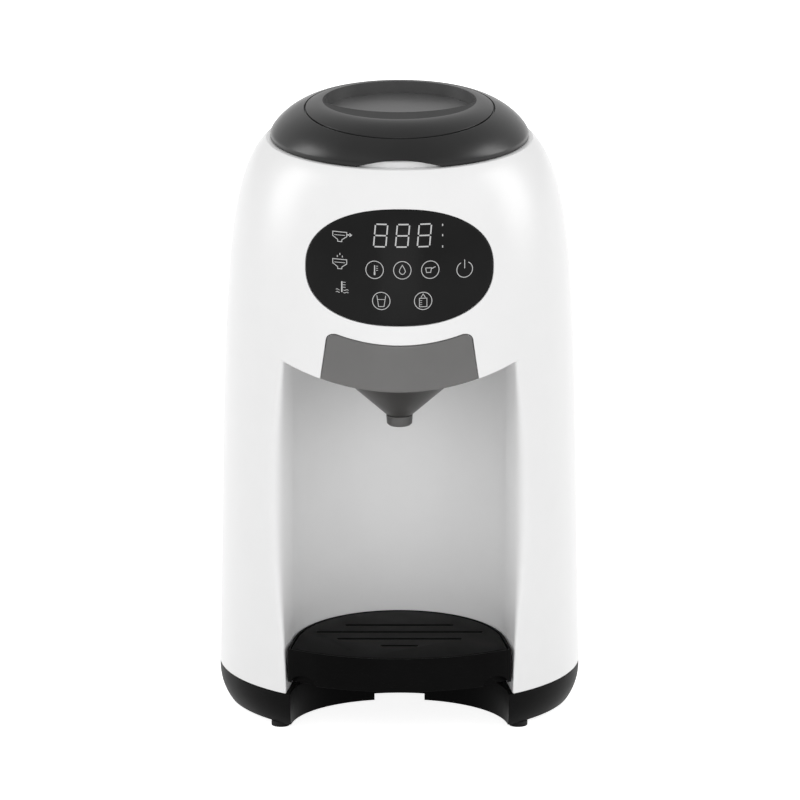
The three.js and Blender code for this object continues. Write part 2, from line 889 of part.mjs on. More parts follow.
function baseDeck() {
  const clear = baseWall + gap;
  const within = baseSolid(clear, footHeight, baseTop, cavitySegments);
  const posts = [
    ...feet.map(([, x, y]) => rod(footBossRadius, footHeight, baseTop, x, y)),
    ...baseScrews.map(([, x, y]) => rod(screwBossRadius, footHeight, baseTop, x, y)),
  ];
  const slab = box(-bodyRadius, bodyRadius, -bodyRadius, rearReach, deckFoot, baseTop);
  const head = footHeight + screwHeadDepth + screwHeadHeight;
  return cut(
    common(within, join(slab, ...posts)),
    recessSolid(clear),
    inletBox(clear),
    rod(valveRadius + couplingWall + gap + gap, deckFoot - overrun, baseTop + overrun, couplingX, couplingY),
    rod(hoseRadius + holeClearance, deckFoot - overrun, baseTop + overrun, pumpX, pumpY),
    ...baseScrews.flatMap(([, x, y]) => [
      rod(screwShankRadius + gap, 0, head + screwShankLength + gap, x, y),
      rod(screwHeadRadius + gap, 0, head + gap, x, y),
    ]),
  );
}

function foot(x, y) {
  return rod(footRadius, 0, footHeight - gap, x, y, turnSegments / 2);
}

function baseScrew(x, y) {
  const head = footHeight + screwHeadDepth;
  const shoulder = head + screwHeadHeight;
  return turned([
    [0, head],
    [screwHeadRadius, head],
    [screwHeadRadius, shoulder],
    [screwShankRadius, shoulder],
    [screwShankRadius, shoulder + screwShankLength],
    [0, shoulder + screwShankLength],
  ], x, y, smallSegments);
}

// Funnel: flange and cone in one piece, a front plate clipped to them and a soft tip on the neck
function funnelPlate() {
  const front = common(bodySkin, frontPrism(plateShape(0)));
  return cut(front, bodySolid(plateThickness, housingFoot, shelfHeight));
}

function funnel() {
  const flange = cut(
    extruded(pocketPlan(funnelFlangeHalfWidth), funnelTop - funnelFlangeThickness, funnelTop),
    rod(funnelRadius - funnelWall, funnelTop - overrun, funnelTop + overrun, 0, funnelY, turnSegments),
  );
  const seatedFlange = common(flange, bodySolid(plateThickness + gap, housingFoot, shelfHeight));
  const bowl = turned([
    [funnelBoreRadius, funnelNeckFoot],
    [funnelNeckRadius, funnelNeckFoot],
    [funnelNeckRadius, funnelConeFoot],
    [spoutRadius, funnelConeFoot],
    [funnelRadius, funnelConeTop],
    [funnelRadius, funnelTop - funnelFlangeThickness / 2],
    [funnelRadius - funnelWall, funnelTop - funnelFlangeThickness / 2],
    [funnelRadius - funnelWall, funnelConeTop + funnelWall / 2],
    [funnelBoreRadius, funnelConeFoot + funnelWall / 2],
  ], 0, funnelY);
  return join(seatedFlange, bowl);
}

function spoutTip() {
  return turned([
    [funnelNeckRadius + gap, spoutFoot],
    [spoutTipRadius - spoutEdge, spoutFoot],
    [spoutTipRadius, spoutFoot + spoutEdge],
    [spoutRadius, funnelConeFoot - gap],
    [funnelNeckRadius + gap, funnelConeFoot - gap],
  ], 0, funnelY, turnSegments / 2);
}

// Drip tray: its plan follows the bay's walls and the front of the body
function trayPlan(inset) {
  const front = trayFront - inset;
  const corner = Math.asin((bayCornerHalfWidth - trayClearance - inset) / front);
  const frontArc = Array.from({ length: traySegments + 1 }, (_, i) => {
    const angle = corner * ((2 * i) / traySegments - 1);
    return new THREE.Vector2(front * Math.sin(angle), -front * Math.cos(angle));
  });
  return [...frontArc, ...bayArc(-trayClearance - inset, traySegments)];
}

function dripTray() {
  const heel = common(
    extruded(trayPlan(0), trayHeel, trayFoot + trayFloor / 2),
    box(-bodyRadius, bodyRadius, bayRear - heelDepth, bayRear, trayHeel - overrun, trayTop),
  );
  const rim = cut(
    rod(trayFront + overrun, trayHeel, trayTop, 0, 0, bodySegments),
    rod(trayFront - trayNotchDepth, trayHeel - overrun, trayTop + overrun, 0, 0, bodySegments),
  );
  const notches = [-1, 1].map((side) => {
    const shape = new THREE.Shape();
    shape.absellipse(side * trayNotchX, trayFoot, trayNotchHalfWidth, trayNotchHeight, 0, 2 * Math.PI);
    return common(extrudedAlongY(shape, -trayFront - overrun, bayCentreY, mouthSegments), rim);
  });
  return cut(
    join(extruded(trayPlan(0), trayFoot, trayTop), heel),
    extruded(trayPlan(trayRim), grateFoot - gap, trayTop + overrun),
    extruded(trayPlan(trayRim + trayLedge), trayFoot + trayFloor, trayTop + overrun),
    ...notches,
  );
}

function trayGrate() {
  const slots = slotLengthShares.map((share, i) => {
    const half = bayHalfWidth * share;
    const y = firstSlotY - i * slotPitch;
    return box(-half, half, y - slotWidth / 2, y + slotWidth / 2, grateFoot - overrun, trayTop + overrun);
  });
  return cut(extruded(trayPlan(trayRim + grateClearance), grateFoot, trayTop), ...slots);
}

// Lid with its domed top, the dish in it, the groove and the finger notch at the front
function lidUnderside(radius) {
  const outer = lidShoulderRadius - lidWall;
  const inner = lidDishRadius - lidWall;
  const rise = lidTop - lidDishDepth - lidWall - collarTop - gap;
  return collarTop + gap + (rise * (outer - radius)) / (outer - inner);
}

function lidDome(drop) {
  return Array.from({ length: lidRings + 1 }, (_, i) => {
    const share = (i / lidRings) ** lidRingPower;
    const rise = (1 - (1 - share) ** lidDomePower) ** lidDomeRoundPower;
    return [lidRadius - lidDishInset * share, lidFoot + lidRim - drop + (lidTop - lidFoot - lidRim) * rise];
  });
}

function lid() {
  const inner = lidRadius - lidSkirt;
  const ceiling = collarTop + gap;
  const floor = lidTop - lidDishDepth;
  const shell = turned([
    [0, floor - lidWall],
    [lidDishRadius - lidWall, lidUnderside(lidDishRadius - lidWall)],
    [lidShoulderRadius - lidWall, ceiling],
    [inner, ceiling],
    [inner, lidFoot],
    [lidRadius, lidFoot],
    ...lidDome(0),
    [0, lidTop],
  ], 0, 0, lidSegments);
  const dish = common(
    rod(lidDishRadius - lidLipWidth, floor, lidTop + overrun, 0, 0, lidSegments),
    rod(lidDishFrontRadius, floor - overrun, lidTop + overrun * 2, 0, lidDishFrontShift, lidSegments),
  );
  const notchRadius = (lidNotchHalfWidth ** 2 + lidNotchRise ** 2) / (2 * lidNotchRise);
  const notch = rodAlongY(
    notchRadius, -lidRadius - overrun, lidNotchDepth - lidRadius,
    0, lidFoot + lidNotchRise - notchRadius, lidSegments * 2,
  );
  const groove = cut(
    turned([
      [lidGrooveRadius - lidGroove / 2, lidFoot],
      [lidGrooveRadius + lidGroove / 2, lidFoot],
      [lidGrooveRadius + lidGroove / 2, lidTop + overrun],
      [lidGrooveRadius - lidGroove / 2, lidTop + overrun],
    ], 0, -lidGrooveShift, lidSegments),
    turned([
      [0, lidFoot - overrun],
      [lidRadius, lidFoot - overrun],
      ...lidDome(lidGroove),
      [0, lidTop - lidGroove],
    ], 0, 0, lidSegments),
  );
  return cut(shell, dish, notch, groove);
}

function lidSeal() {
  const foot = collarTop + gap;
  const outer = canisterRadius - canisterWall;
  const top = lidUnderside(outer) - gap;
  return turned([
    [outer - lidSealWidth, foot],
    [outer, foot],
    [outer, top],
    [outer - lidSealWidth, top],
  ]);
}

// Canister and what turns in it: a tube between a floor and a rim
function canister() {
  const inner = canisterRadius - canisterWall;
  return turned([
    [inner, canisterFloor + gap],
    [canisterRadius, canisterFloor + gap],
    [canisterRadius, flangeFoot - gap],
    [inner, flangeFoot - gap],
  ]);
}

function canisterBottom() {
  return cut(
    rod(canisterRadius, canisterFoot, canisterFloor, 0, 0, turnSegments),
    rod(hubRadius + gap, canisterFoot - overrun, canisterFloor + overrun),
    rod(outletRadius, canisterFoot - overrun, canisterFloor + overrun, 0, funnelY),
  );
}

function canisterRim() {
  const inner = canisterRadius - canisterWall;
  return turned([
    [inner, flangeFoot],
    [flangeRadius, flangeFoot],
    [flangeRadius, collarTop],
    [inner, collarTop],
  ]);
}

function dosingWheel() {
  const pocketRing = Math.abs(funnelY);
  const disc = join(
    rod(wheelRadius, wheelFoot, wheelTop, 0, 0, turnSegments),
    rod(hubRadius, canisterFoot - hubDrop, wheelTop),
  );
  const pockets = Array.from({ length: pocketCount }, (_, i) => {
    const angle = (2 * Math.PI * i) / pocketCount;
    return rod(
      pocketRadius, wheelFoot - overrun, wheelTop + overrun,
      pocketRing * Math.sin(angle), -pocketRing * Math.cos(angle),
    );
  });
  const half = dogSide / 2 + socketClearance;
  const socket = box(-half, half, -half, half, canisterFoot - hubDrop - overrun, socketTop);
  return cut(disc, socket, ...pockets);
}

function leveller() {
  const half = THREE.MathUtils.degToRad(levellerHalfDegrees);
  const outer = canisterRadius - canisterWall - gap;
  const shape = new THREE.Shape();
  shape.absarc(0, 0, outer, -Math.PI / 2 - half, -Math.PI / 2 + half);
  shape.absarc(0, 0, levellerInner, -Math.PI / 2 + half, -Math.PI / 2 - half, true);
  return new THREE.ExtrudeGeometry(shape, { depth: levellerThickness, bevelEnabled: false })
    .translate(0, 0, levellerFoot);
}

function stirrer() {
  const foot = wheelTop + gap;
  const lowArm = foot + armRise;
  const highArm = lowArm + armSpacing;
  return join(
    rod(stirrerRadius, foot, foot + stirrerHeight),
    box(-armReach, armReach, -armWidth / 2, armWidth / 2, lowArm, lowArm + armWidth),
    box(-armWidth / 2, armWidth / 2, -armReach, armReach, highArm, highArm + armWidth),
  );
}

// Gears: teeth are trapezoids that stay clear of each other on the pitch line
function gearPlan(teeth, phase) {
  const pitchRadius = (gearModule * teeth) / 2;
  const tip = pitchRadius + addendumShare * gearModule;
  const root = pitchRadius - dedendumShare * gearModule;
  const pitchAngle = (2 * Math.PI) / teeth;
  return Array.from({ length: teeth }, (_, i) => {
    const middle = (i + phase) * pitchAngle;
    return [[root, -toothRootShare], [tip, -toothTipShare], [tip, toothTipShare], [root, toothRootShare]]
      .map(([radius, share]) => {
        const angle = middle + (share * pitchAngle) / 2;
        return new THREE.Vector2(radius * Math.cos(angle), radius * Math.sin(angle));
      });
  }).flat();
}

function driveGear() {
  return join(
    extruded(gearPlan(gearTeeth, 0), gearFoot, gearTop),
    rod(axleRadius, driveDeckFoot, gearFoot + gearThickness / 2),
    box(
      -dogSide / 2, dogSide / 2, -dogSide / 2, dogSide / 2,
      gearTop - gearThickness / 2, gearTop + dogHeight,
    ),
  );
}

function motorPinion() {
  const plan = gearPlan(pinionTeeth, 1 / 2).map((p) => p.add(new THREE.Vector2(0, gearSpacing)));
  const bore = rod(motorShaftRadius + shaftClearance, gearFoot - overrun, gearTop + overrun, 0, gearSpacing);
  return cut(extruded(plan, gearFoot, gearTop), bore);
}

function powderMotor() {
  const top = driveDeckFoot - gap;
  return join(
    rod(motorRadius, top - motorLength, top, 0, gearSpacing, turnSegments / 2),
    rod(motorShaftRadius, top - motorLength / 2, gearTop, 0, gearSpacing),
  );
}

function driveDeck() {
  const inset = wall + driveDeckClearance;
  const plate = common(
    cavitySolid(inset),
    box(-bodyRadius, bodyRadius, -bodyRadius, driveDeckRear, driveDeckFoot, driveDeckTop),
  );
  const through = (radius, x, y) => rod(radius, driveDeckFoot - overrun, driveDeckTop + overrun, x, y);
  return cut(
    plate,
    box(-displayBoardHalfWidth - overrun, displayBoardHalfWidth + overrun, -bodyRadius,
      displayBoardY + boardThickness, driveDeckFoot - overrun, driveDeckTop + overrun),
    through(axleRadius + shaftClearance, 0, 0),
    through(motorShaftRadius + holeClearance, 0, gearSpacing),
    through(chuteRadius + holeClearance, 0, funnelY),
    through(nozzleRadius + holeClearance, nozzleX, funnelY),
    through(hotHoseRadius + 3 * holeClearance, hotHoseHole.x, hotHoseHole.y),
  );
}

function powderChute() {
  return turned([
    [chuteRadius - chuteWall, chuteFoot],
    [chuteRadius, chuteFoot],
    [chuteRadius, chuteSeat],
    [chuteFlangeRadius, chuteSeat],
    [chuteFlangeRadius, chuteSeat + chuteFlangeThickness],
    [chuteRadius, chuteSeat + chuteFlangeThickness],
    [chuteRadius, canisterFoot - gap],
    [chuteRadius - chuteWall, canisterFoot - gap],
  ], 0, funnelY, turnSegments / 2);
}

function waterNozzle() {
  const shoulder = chuteSeat + chuteFlangeThickness;
  return turned([
    [nozzleBore, nozzleFoot],
    [nozzleRadius, nozzleFoot],
    [nozzleRadius, chuteSeat],
    [nozzleFlangeRadius, chuteSeat],
    [nozzleFlangeRadius, shoulder],
    [nozzleHeadRadius, shoulder],
    [nozzleHeadRadius, shoulder + nozzleHeadHeight],
    [nozzleBore, shoulder + nozzleHeadHeight],
  ], nozzleX, funnelY, smallSegments);
}

// Tank: the rear of the body, lifted straight up off its coupling
function tankSkin(inset, foot, top, segments) {
  return bodySolid(inset, foot, top, segments, tankRings);
}

function inFront(y) {
  return box(-rearReach, rearReach, -rearReach, y, -overrun, crownHeight);
}

const hingeHeight = tankTop + hingeRise;
const tankFront = backPlane + gap;

// Curved wall of the tank, open at the front, the top and the bottom
function waterTank() {
  return cut(
    tankSkin(0, housingFoot, tankTop, bodySegments),
    inFront(tankFront),
    tankSkin(tankWall, housingFoot - overrun, tankTop + overrun, cavitySegments),
  );
}

function tankFloorPlate() {
  return cut(
    tankSkin(tankWall + gap, housingFoot, housingFoot + tankFloor, cavitySegments),
    inFront(tankFront),
    rod(valveRadius + gap, housingFoot - overrun, housingFoot + tankFloor + overrun, couplingX, couplingY),
  );
}

function hingeBore() {
  return rodAlongX(pinRadius + pinClearance, -bodyRadius, bodyRadius, hingeY, hingeHeight);
}

// Flat front wall, with the two lugs of the lid's hinge
function tankFrontWall() {
  const wallSolid = common(
    tankSkin(tankWall + gap, housingFoot + tankFloor + gap, tankTop, cavitySegments),
    box(-bodyRadius, bodyRadius, tankFront, tankFront + tankWall, housingFoot, crownHeight),
  );
  const lugs = [-1, 1].map((side) => {
    const x = side * (knuckleX + knuckleLength / 2 + gap + lugLength / 2);
    return box(
      x - lugLength / 2, x + lugLength / 2,
      tankFront, hingeY + knuckleRadius,
      tankTop - tankWall, hingeHeight + knuckleRadius,
    );
  });
  return cut(join(wallSolid, ...lugs), hingeBore());
}

function tankLid() {
  const foot = tankTop + gap;
  const front = hingeY + knuckleRadius + lidFrontMargin;
  const outline = bodyRing(tankTop, 0, bodySegments).map((p) => new THREE.Vector2(p.x, p.y));
  const plate = cut(
    extruded(outline, foot, foot + tankLidThickness),
    inFront(front),
  );
  const knuckles = [-1, 1].flatMap((side) => {
    const x0 = side * knuckleX - knuckleLength / 2;
    const x1 = side * knuckleX + knuckleLength / 2;
    return [
      rodAlongX(knuckleRadius, x0, x1, hingeY, hingeHeight),
      box(x0, x1, hingeY, front + lidFrontMargin, foot, foot + tankLidThickness),
    ];
  });
  return cut(join(plate, ...knuckles), hingeBore());
}

function tankLidPin() {
  const reach = knuckleX + knuckleLength / 2 + gap + lugLength;
  return rodAlongX(pinRadius, -reach, reach, hingeY, hingeHeight);
}

function tankValve() {
  const seat = housingFoot + tankFloor + gap;
  return turned([
    [valveBore, valveFoot],
    [valveRadius, valveFoot],
    [valveRadius, seat],
    [valveCapRadius, seat],
    [valveCapRadius, seat + valveCapHeight],
    [valveBore, seat + valveCapHeight],
  ], couplingX, couplingY, turnSegments / 2);
}

function tankCoupling() {
  const inner = valveRadius + gap;
  const outer = inner + couplingWall;
  const seat = deckFoot - gap;
  return turned([
    [valveBore, couplingFoot],
    [outer, couplingFoot],
    [outer, seat - couplingWall],
    [couplingFlangeRadius, seat - couplingWall],
    [couplingFlangeRadius, seat],
    [outer, seat],
    [outer, baseTop],
    [inner, baseTop],
    [inner, valveFoot - gap],
    [valveBore, valveFoot - gap],
  ], couplingX, couplingY, turnSegments / 2);
}

// Pump, flow meter, heater and the hoses between them
function waterPump() {
  const shoulder = pumpFoot + pumpFlangeHeight;
  const top = pumpFoot + pumpHeight;
  return turned([
    [0, pumpFoot],
    [pumpFlangeRadius, pumpFoot],
    [pumpFlangeRadius, shoulder],
    [pumpRadius, shoulder],
    [pumpRadius, top],
    [portRadius, top],
    [portRadius, top + portLength],
    [0, top + portLength],
  ], pumpX, pumpY, turnSegments / 2);
}

function flowMeter() {
  return rod(meterRadius, meterFoot, meterFoot + meterHeight, pumpX, pumpY, turnSegments / 2);
}

function boiler() {
  return turned([
    [0, boilerFoot - portLength],
    [portRadius, boilerFoot - portLength],
    [portRadius, boilerFoot],
    [boilerRadius - boilerDome, boilerFoot],
    [boilerRadius, boilerFoot + boilerDome],
    [boilerRadius, boilerTop - boilerDome],
    [boilerRadius - boilerDome, boilerTop],
    [portRadius, boilerTop],
    [portRadius, boilerTop + portLength],
    [0, boilerTop + portLength],
  ], boilerX, boilerY, turnSegments / 2);
}

function boilerBracket() {
  return cut(
    box(
      boilerX - bracketHalfWidth, boilerX + bracketHalfWidth,
      boilerY + boilerRadius / 2, backPlane - wall - gap,
      bracketFoot, bracketFoot + bracketHeight,
    ),
    rod(boilerRadius + gap, bracketFoot - overrun, bracketFoot + bracketHeight + overrun,
      boilerX, boilerY, turnSegments / 2),
  );
}

function temperatureSensor() {
  return rod(sensorRadius, boilerTop + gap, boilerTop + sensorHeight, boilerX, boilerY + sensorOffset);
}

const hotHoseHole = new THREE.Vector2(hotHoseInset - bodyRadius, boilerY - hotHoseReach);

function suctionHose() {
  const low = couplingFoot + hoseRadius;
  return hose([
    [couplingX - valveRadius - couplingWall - gap - gap, couplingY, low],
    [couplingX - 2 * hoseBend, couplingY, low],
    [couplingX - 3 * hoseBend, couplingY - (3 * hoseBend) / 2, low],
    [pumpX - 2 * hoseBend, pumpY + 3 * hoseBend, low],
    [pumpX - hoseBend / 2, pumpY + hoseBend, low],
    [pumpX, pumpY, low + hoseBend / 2],
    [pumpX, pumpY, pumpFoot - gap],
  ], hoseRadius);
}

function pressureHose() {
  const start = meterFoot + meterHeight + gap;
  const end = boilerFoot - portLength - gap;
  return hose([
    [pumpX, pumpY, start],
    [pumpX, pumpY, start + hoseBend],
    [pumpX - hoseBend, pumpY, start + 2 * hoseBend],
    [pumpX - 3 * hoseBend, pumpY, start + hoseBend],
    [pumpX - 4 * hoseBend, pumpY, start - (5 * hoseBend) / 2],
    [pumpX - (9 * hoseBend) / 2, (pumpY + boilerY) / 2, end - hoseBend],
    [boilerX + 2 * hoseBend, boilerY, end - 2 * hoseBend],
    [boilerX, boilerY, end - (3 * hoseBend) / 2],
    [boilerX, boilerY, end],
  ], hoseRadius);
}

function hotWaterHose() {
  const start = boilerTop + portLength + gap;
  const level = chuteSeat + chuteFlangeThickness + nozzleHeadHeight / 2;
  return hose([
    [boilerX, boilerY, start],
    [boilerX, boilerY, start + hoseBend],
    [boilerX - hoseBend, boilerY - (3 * hoseBend) / 2, start + 3 * hoseBend],
    [hotHoseHole.x, hotHoseHole.y, driveDeckFoot - hoseBend / 2],
    [hotHoseHole.x, hotHoseHole.y, driveDeckTop],
    [hotHoseHole.x + hoseBend / 2, hotHoseHole.y - hoseBend, level],
    [hotHoseHole.x + hoseBend, funnelY + 2 * hoseBend, level],
    [nozzleX - 2 * hoseBend, funnelY, level],
    [nozzleX - nozzleFlangeRadius - gap, funnelY, level],
  ], hotHoseRadius);
}

// Boards, switch and inlet
function mainBoard() {
  const rear = backPlane - wall - gap;
  const middle = (mainBoardLeft + mainBoardRight) / 2;
  const face = rear - boardThickness;
  const relays = [0, 1, 2].map((i) => box(
    middle - relaySize / 2, middle + relaySize / 2,
    face - relayHeight, rear - boardThickness / 2,
    mainBoardFoot + relaySize * (2 * i + 1) - relaySize / 2,
    mainBoardFoot + relaySize * (2 * i + 1) + relaySize / 2,
  ));
  return join(box(mainBoardLeft, mainBoardRight, face, rear, mainBoardFoot, mainBoardTop), ...relays);
}

function powerBoard() {
  const top = pumpFoot + boardThickness;
  const middleX = (powerBoardLeft + powerBoardRight) / 2;
  const middleY = (powerBoardFront + powerBoardRear) / 2;
  const half = transformerSize / 2;
  return join(
    box(powerBoardLeft, powerBoardRight, powerBoardFront, powerBoardRear, pumpFoot, top),
    box(middleX - half, middleX + half, middleY - half, middleY + half,
      pumpFoot + boardThickness / 2, top + transformerHeight),
  );
}

function funnelSwitch() {
  const front = funnelY + funnelFlangeHalfWidth + gap + wall + gap;
  return box(
    -switchWidth / 2, switchWidth / 2, front, front + switchDepth,
    switchFoot, switchFoot + switchHeight,
  );
}

function mainsInlet() {
  const rear = rearReach - inletFlat;
  const middle = (footHeight + baseTop) / 2;
  const well = box(
    -inletWellWidth / 2, inletWellWidth / 2, rear - inletWellDepth, rear + overrun,
    middle - inletWellHeight / 2, middle + inletWellHeight / 2,
  );
  const pins = [-1, 1].map((side) => rodAlongY(
    inletPinRadius, rear - inletWellDepth - inletPinRadius, rear - inletPinRadius,
    (side * inletPinSpacing) / 2, middle,
  ));
  return join(cut(inletBox(0), well), ...pins);
}

// Materials
function finish(color, roughness, metalness = 0) {
  return new THREE.MeshStandardMaterial({ color, roughness, metalness });
}

const looks = {
  white: () => finish(0xf0f0f0, 0.32),
  black: () => finish(0x1a1a1b, 0.42),
  charcoal: () => finish(0x3a3a3b, 0.38),
  panel: () => finish(0x242425, 0.12),
  smoke: () => finish(0x6a6567, 0.2),
  tank: () => finish(0x9aa2a6, 0.15),
  clear: () => finish(0xd9dde0, 0.15),
  rubber: () => finish(0x161616, 0.8),
  silicone: () => finish(0xdedede, 0.7),
  grey: () => finish(0x8c8e90, 0.6),
  steel: () => finish(0xb4b6b8, 0.3, 1),
  board: () => finish(0x1f5a36, 0.6),
  brass: () => finish(0xb59a55, 0.35, 1),
};

const machine = new THREE.Group();
machine.position.y = (trayFront - rearReach) / 2;

function add(name, geometry, look) {
  const mesh = new THREE.Mesh(geometry, looks[look]());
  mesh.name = name;
  machine.add(mesh);
}

add('base_left', baseHalf(-1), 'black');
add('base_right', baseHalf(1), 'black');
add('base_deck', baseDeck(), 'black');
feet.forEach(([name, x, y]) => add(name, foot(x, y), 'rubber'));
baseScrews.forEach(([name, x, y]) => add(name, baseScrew(x, y), 'steel'));
add('housing_left', housingHalf(-1), 'white');
add('housing_right', housingHalf(1), 'white');
add('housing_top', housingTop(), 'white');
add('canister_collar', canisterCollar(), 'white');
add('bay_liner', bayLiner(), 'white');
add('funnel_pocket', funnelPocket(), 'white');
add('rear_panel', rearPanel(), 'white');
add('control_lens', controlLens(), 'panel');
add('digit_display', digitDisplay(), 'black');
add('display_board', displayBoard(), 'board');
add('funnel', funnel(), 'smoke');
add('funnel_plate', funnelPlate(), 'smoke');
add('spout_tip', spoutTip(), 'silicone');
add('drip_tray', dripTray(), 'black');
add('tray_grate', trayGrate(), 'black');
add('lid', lid(), 'charcoal');
add('lid_seal', lidSeal(), 'silicone');
add('canister', canister(), 'clear');
add('canister_floor', canisterBottom(), 'clear');
add('canister_rim', canisterRim(), 'clear');
add('dosing_wheel', dosingWheel(), 'grey');
add('leveller', leveller(), 'grey');
add('stirrer', stirrer(), 'grey');
add('drive_gear', driveGear(), 'clear');
add('motor_pinion', motorPinion(), 'brass');
add('powder_motor', powderMotor(), 'steel');
add('drive_deck', driveDeck(), 'grey');
add('powder_chute', powderChute(), 'grey');
add('water_nozzle', waterNozzle(), 'grey');
add('water_tank', waterTank(), 'tank');
add('tank_front', tankFrontWall(), 'tank');
add('tank_floor', tankFloorPlate(), 'tank');
add('tank_lid', tankLid(), 'black');
add('tank_lid_pin', tankLidPin(), 'steel');
add('tank_valve', tankValve(), 'silicone');
add('tank_coupling', tankCoupling(), 'grey');
add('water_pump', waterPump(), 'black');
add('flow_meter', flowMeter(), 'clear');
add('boiler', boiler(), 'steel');
add('boiler_bracket', boilerBracket(), 'grey');
add('temperature_sensor', temperatureSensor(), 'brass');
add('suction_hose', suctionHose(), 'silicone');
add('pressure_hose', pressureHose(), 'silicone');
add('hot_water_hose', hotWaterHose(), 'silicone');
add('main_board', mainBoard(), 'board');
add('power_board', powerBoard(), 'board');
add('funnel_switch', funnelSwitch(), 'black');
add('mains_inlet', mainsInlet(), 'black');

export default machine;
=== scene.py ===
"""Baby formula maker: fine shapes, finishes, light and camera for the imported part.

Shapes are written in millimetres round the upright axis of the body, as in the part, and are
made in metres in the frame of the part.
"""
import math
import bpy
import bmesh
import numpy as np
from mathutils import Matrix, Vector


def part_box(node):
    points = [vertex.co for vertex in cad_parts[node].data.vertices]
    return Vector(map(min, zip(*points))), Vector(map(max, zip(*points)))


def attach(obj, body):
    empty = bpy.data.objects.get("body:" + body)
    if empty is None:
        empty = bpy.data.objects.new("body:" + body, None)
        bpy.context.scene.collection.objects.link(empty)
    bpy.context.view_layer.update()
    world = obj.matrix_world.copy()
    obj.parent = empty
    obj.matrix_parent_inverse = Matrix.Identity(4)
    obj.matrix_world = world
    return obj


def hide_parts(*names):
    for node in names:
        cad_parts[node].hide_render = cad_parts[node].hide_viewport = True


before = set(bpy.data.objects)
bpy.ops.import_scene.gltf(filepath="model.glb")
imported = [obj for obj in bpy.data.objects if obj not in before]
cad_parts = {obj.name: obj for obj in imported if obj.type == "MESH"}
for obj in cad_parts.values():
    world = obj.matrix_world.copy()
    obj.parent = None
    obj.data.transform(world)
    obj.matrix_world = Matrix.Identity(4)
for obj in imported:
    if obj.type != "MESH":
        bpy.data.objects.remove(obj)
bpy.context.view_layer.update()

MM = 0.001
TAU = 2 * math.pi
GAP = 0.3
OVERRUN = 4.0

# Limits and steps of the mesh functions
MERGE_DISTANCE = 1e-6
ON_AXIS = 1e-6
TINY = 1e-9
MOST_COSINE = 0.9999
ARM_SHARE = 0.48
LEAST_MITRE = 0.5
CORE_SHARE = 0.04
SHARP_ANGLE = 32
SKIN_SEGMENTS = 320
SKIN_RINGS = 80
FINE_SEGMENTS = 256

# Body
BODY_RADIUS = 86.6
CROWN_HEIGHT = 285.8
TAPER_SHARE = 0.043
DOME_POWER = 6.4
DOME_ROUND_POWER = 0.14
REAR_DEPTH_SHARE = 1.45
REAR_POWER = 2.4
SHOULDER_FOOT = 190.0
SHOULDER_TOP = 268.0
WALL = 3.0
HOUSING_FOOT = 19.5
SHELF_HEIGHT = 278.2
BACK_PLANE = 68.0
COLLAR_RADIUS = 59.4
COLLAR_TOP = SHELF_HEIGHT + 3.4
COLLAR_ROUND = 0.8
COLLAR_SEAT_ROUND = 0.4
CANISTER_RADIUS = 52.0
FLANGE_RADIUS = CANISTER_RADIUS + 4.5
FLANGE_FOOT = COLLAR_TOP - 2.0
CAVITY_SEGMENTS = 96
CAVITY_RINGS = 24

# Dispensing bay
BAY_HALF_WIDTH = 52.2
BAY_CORNER_HALF_WIDTH = 54.5
BAY_CENTRE_Y = -56.0
BAY_WALL_RUN = 11.0
BAY_REACH = 60.5
BAY_REAR = BAY_CENTRE_Y + BAY_REACH
BAY_SWELL = 4.5
MOUTH_ROUND = 1.4
MOUTH_ROUND_SWELL = 8.7
BAY_WIDEST_HEIGHT = 115.0
BAY_SWELL_REACH = 95.0
CEILING_HEIGHT = 173.5
CEILING_RISE = 13.2
CEILING_RISE_HALF_WIDTH = 64.7

# Base
FOOT_HEIGHT = 3.0
FOOT_RADIUS = 4.5
FOOT_ROUND = 0.6
FOOT_TOP_ROUND = 0.3
FOOT_BOSS_RADIUS = 6.0
FOOT_SEGMENTS = 64
BASE_TUCK = 4.5
BASE_TUCK_POWER = 2.5
BASE_WALL = 3.0
BASE_TOP = HOUSING_FOOT - GAP
DECK_FOOT = BASE_TOP - 2.8
RECESS_RADIUS = 52.5
RECESS_CENTRE_Y = -70.0
NOTCH_HALF_WIDTH = 12.0
NOTCH_HEIGHT = 3.2
INLET_HALF_WIDTH = 12.0
INLET_DEPTH = 12.0
INLET_HALF_HEIGHT = 6.0
INLET_SETBACK = 5.2
SCREW_BOSS_RADIUS = 5.2
SCREW_HOLE_RADIUS = 3.6
SCREW_HOLE_DEPTH = 6.9
FEET = {
    "foot_front_left": (-57.0, -52.5),
    "foot_front_right": (57.0, -52.5),
    "foot_rear_left": (-52.0, 84.0),
    "foot_rear_right": (52.0, 84.0),
}
SCREWS = [(x, y) for x in (-62.0, 62.0) for y in (8.0, 56.0)]

# Control panel
LENS_HALF_WIDTH = 44.8
LENS_HALF_HEIGHT = 27.6
LENS_HEIGHT = 233.7
LENS_DROOP = 2.0
LENS_POWER = 2.3
LENS_THICKNESS = 1.2
LENS_ROUND = 0.35

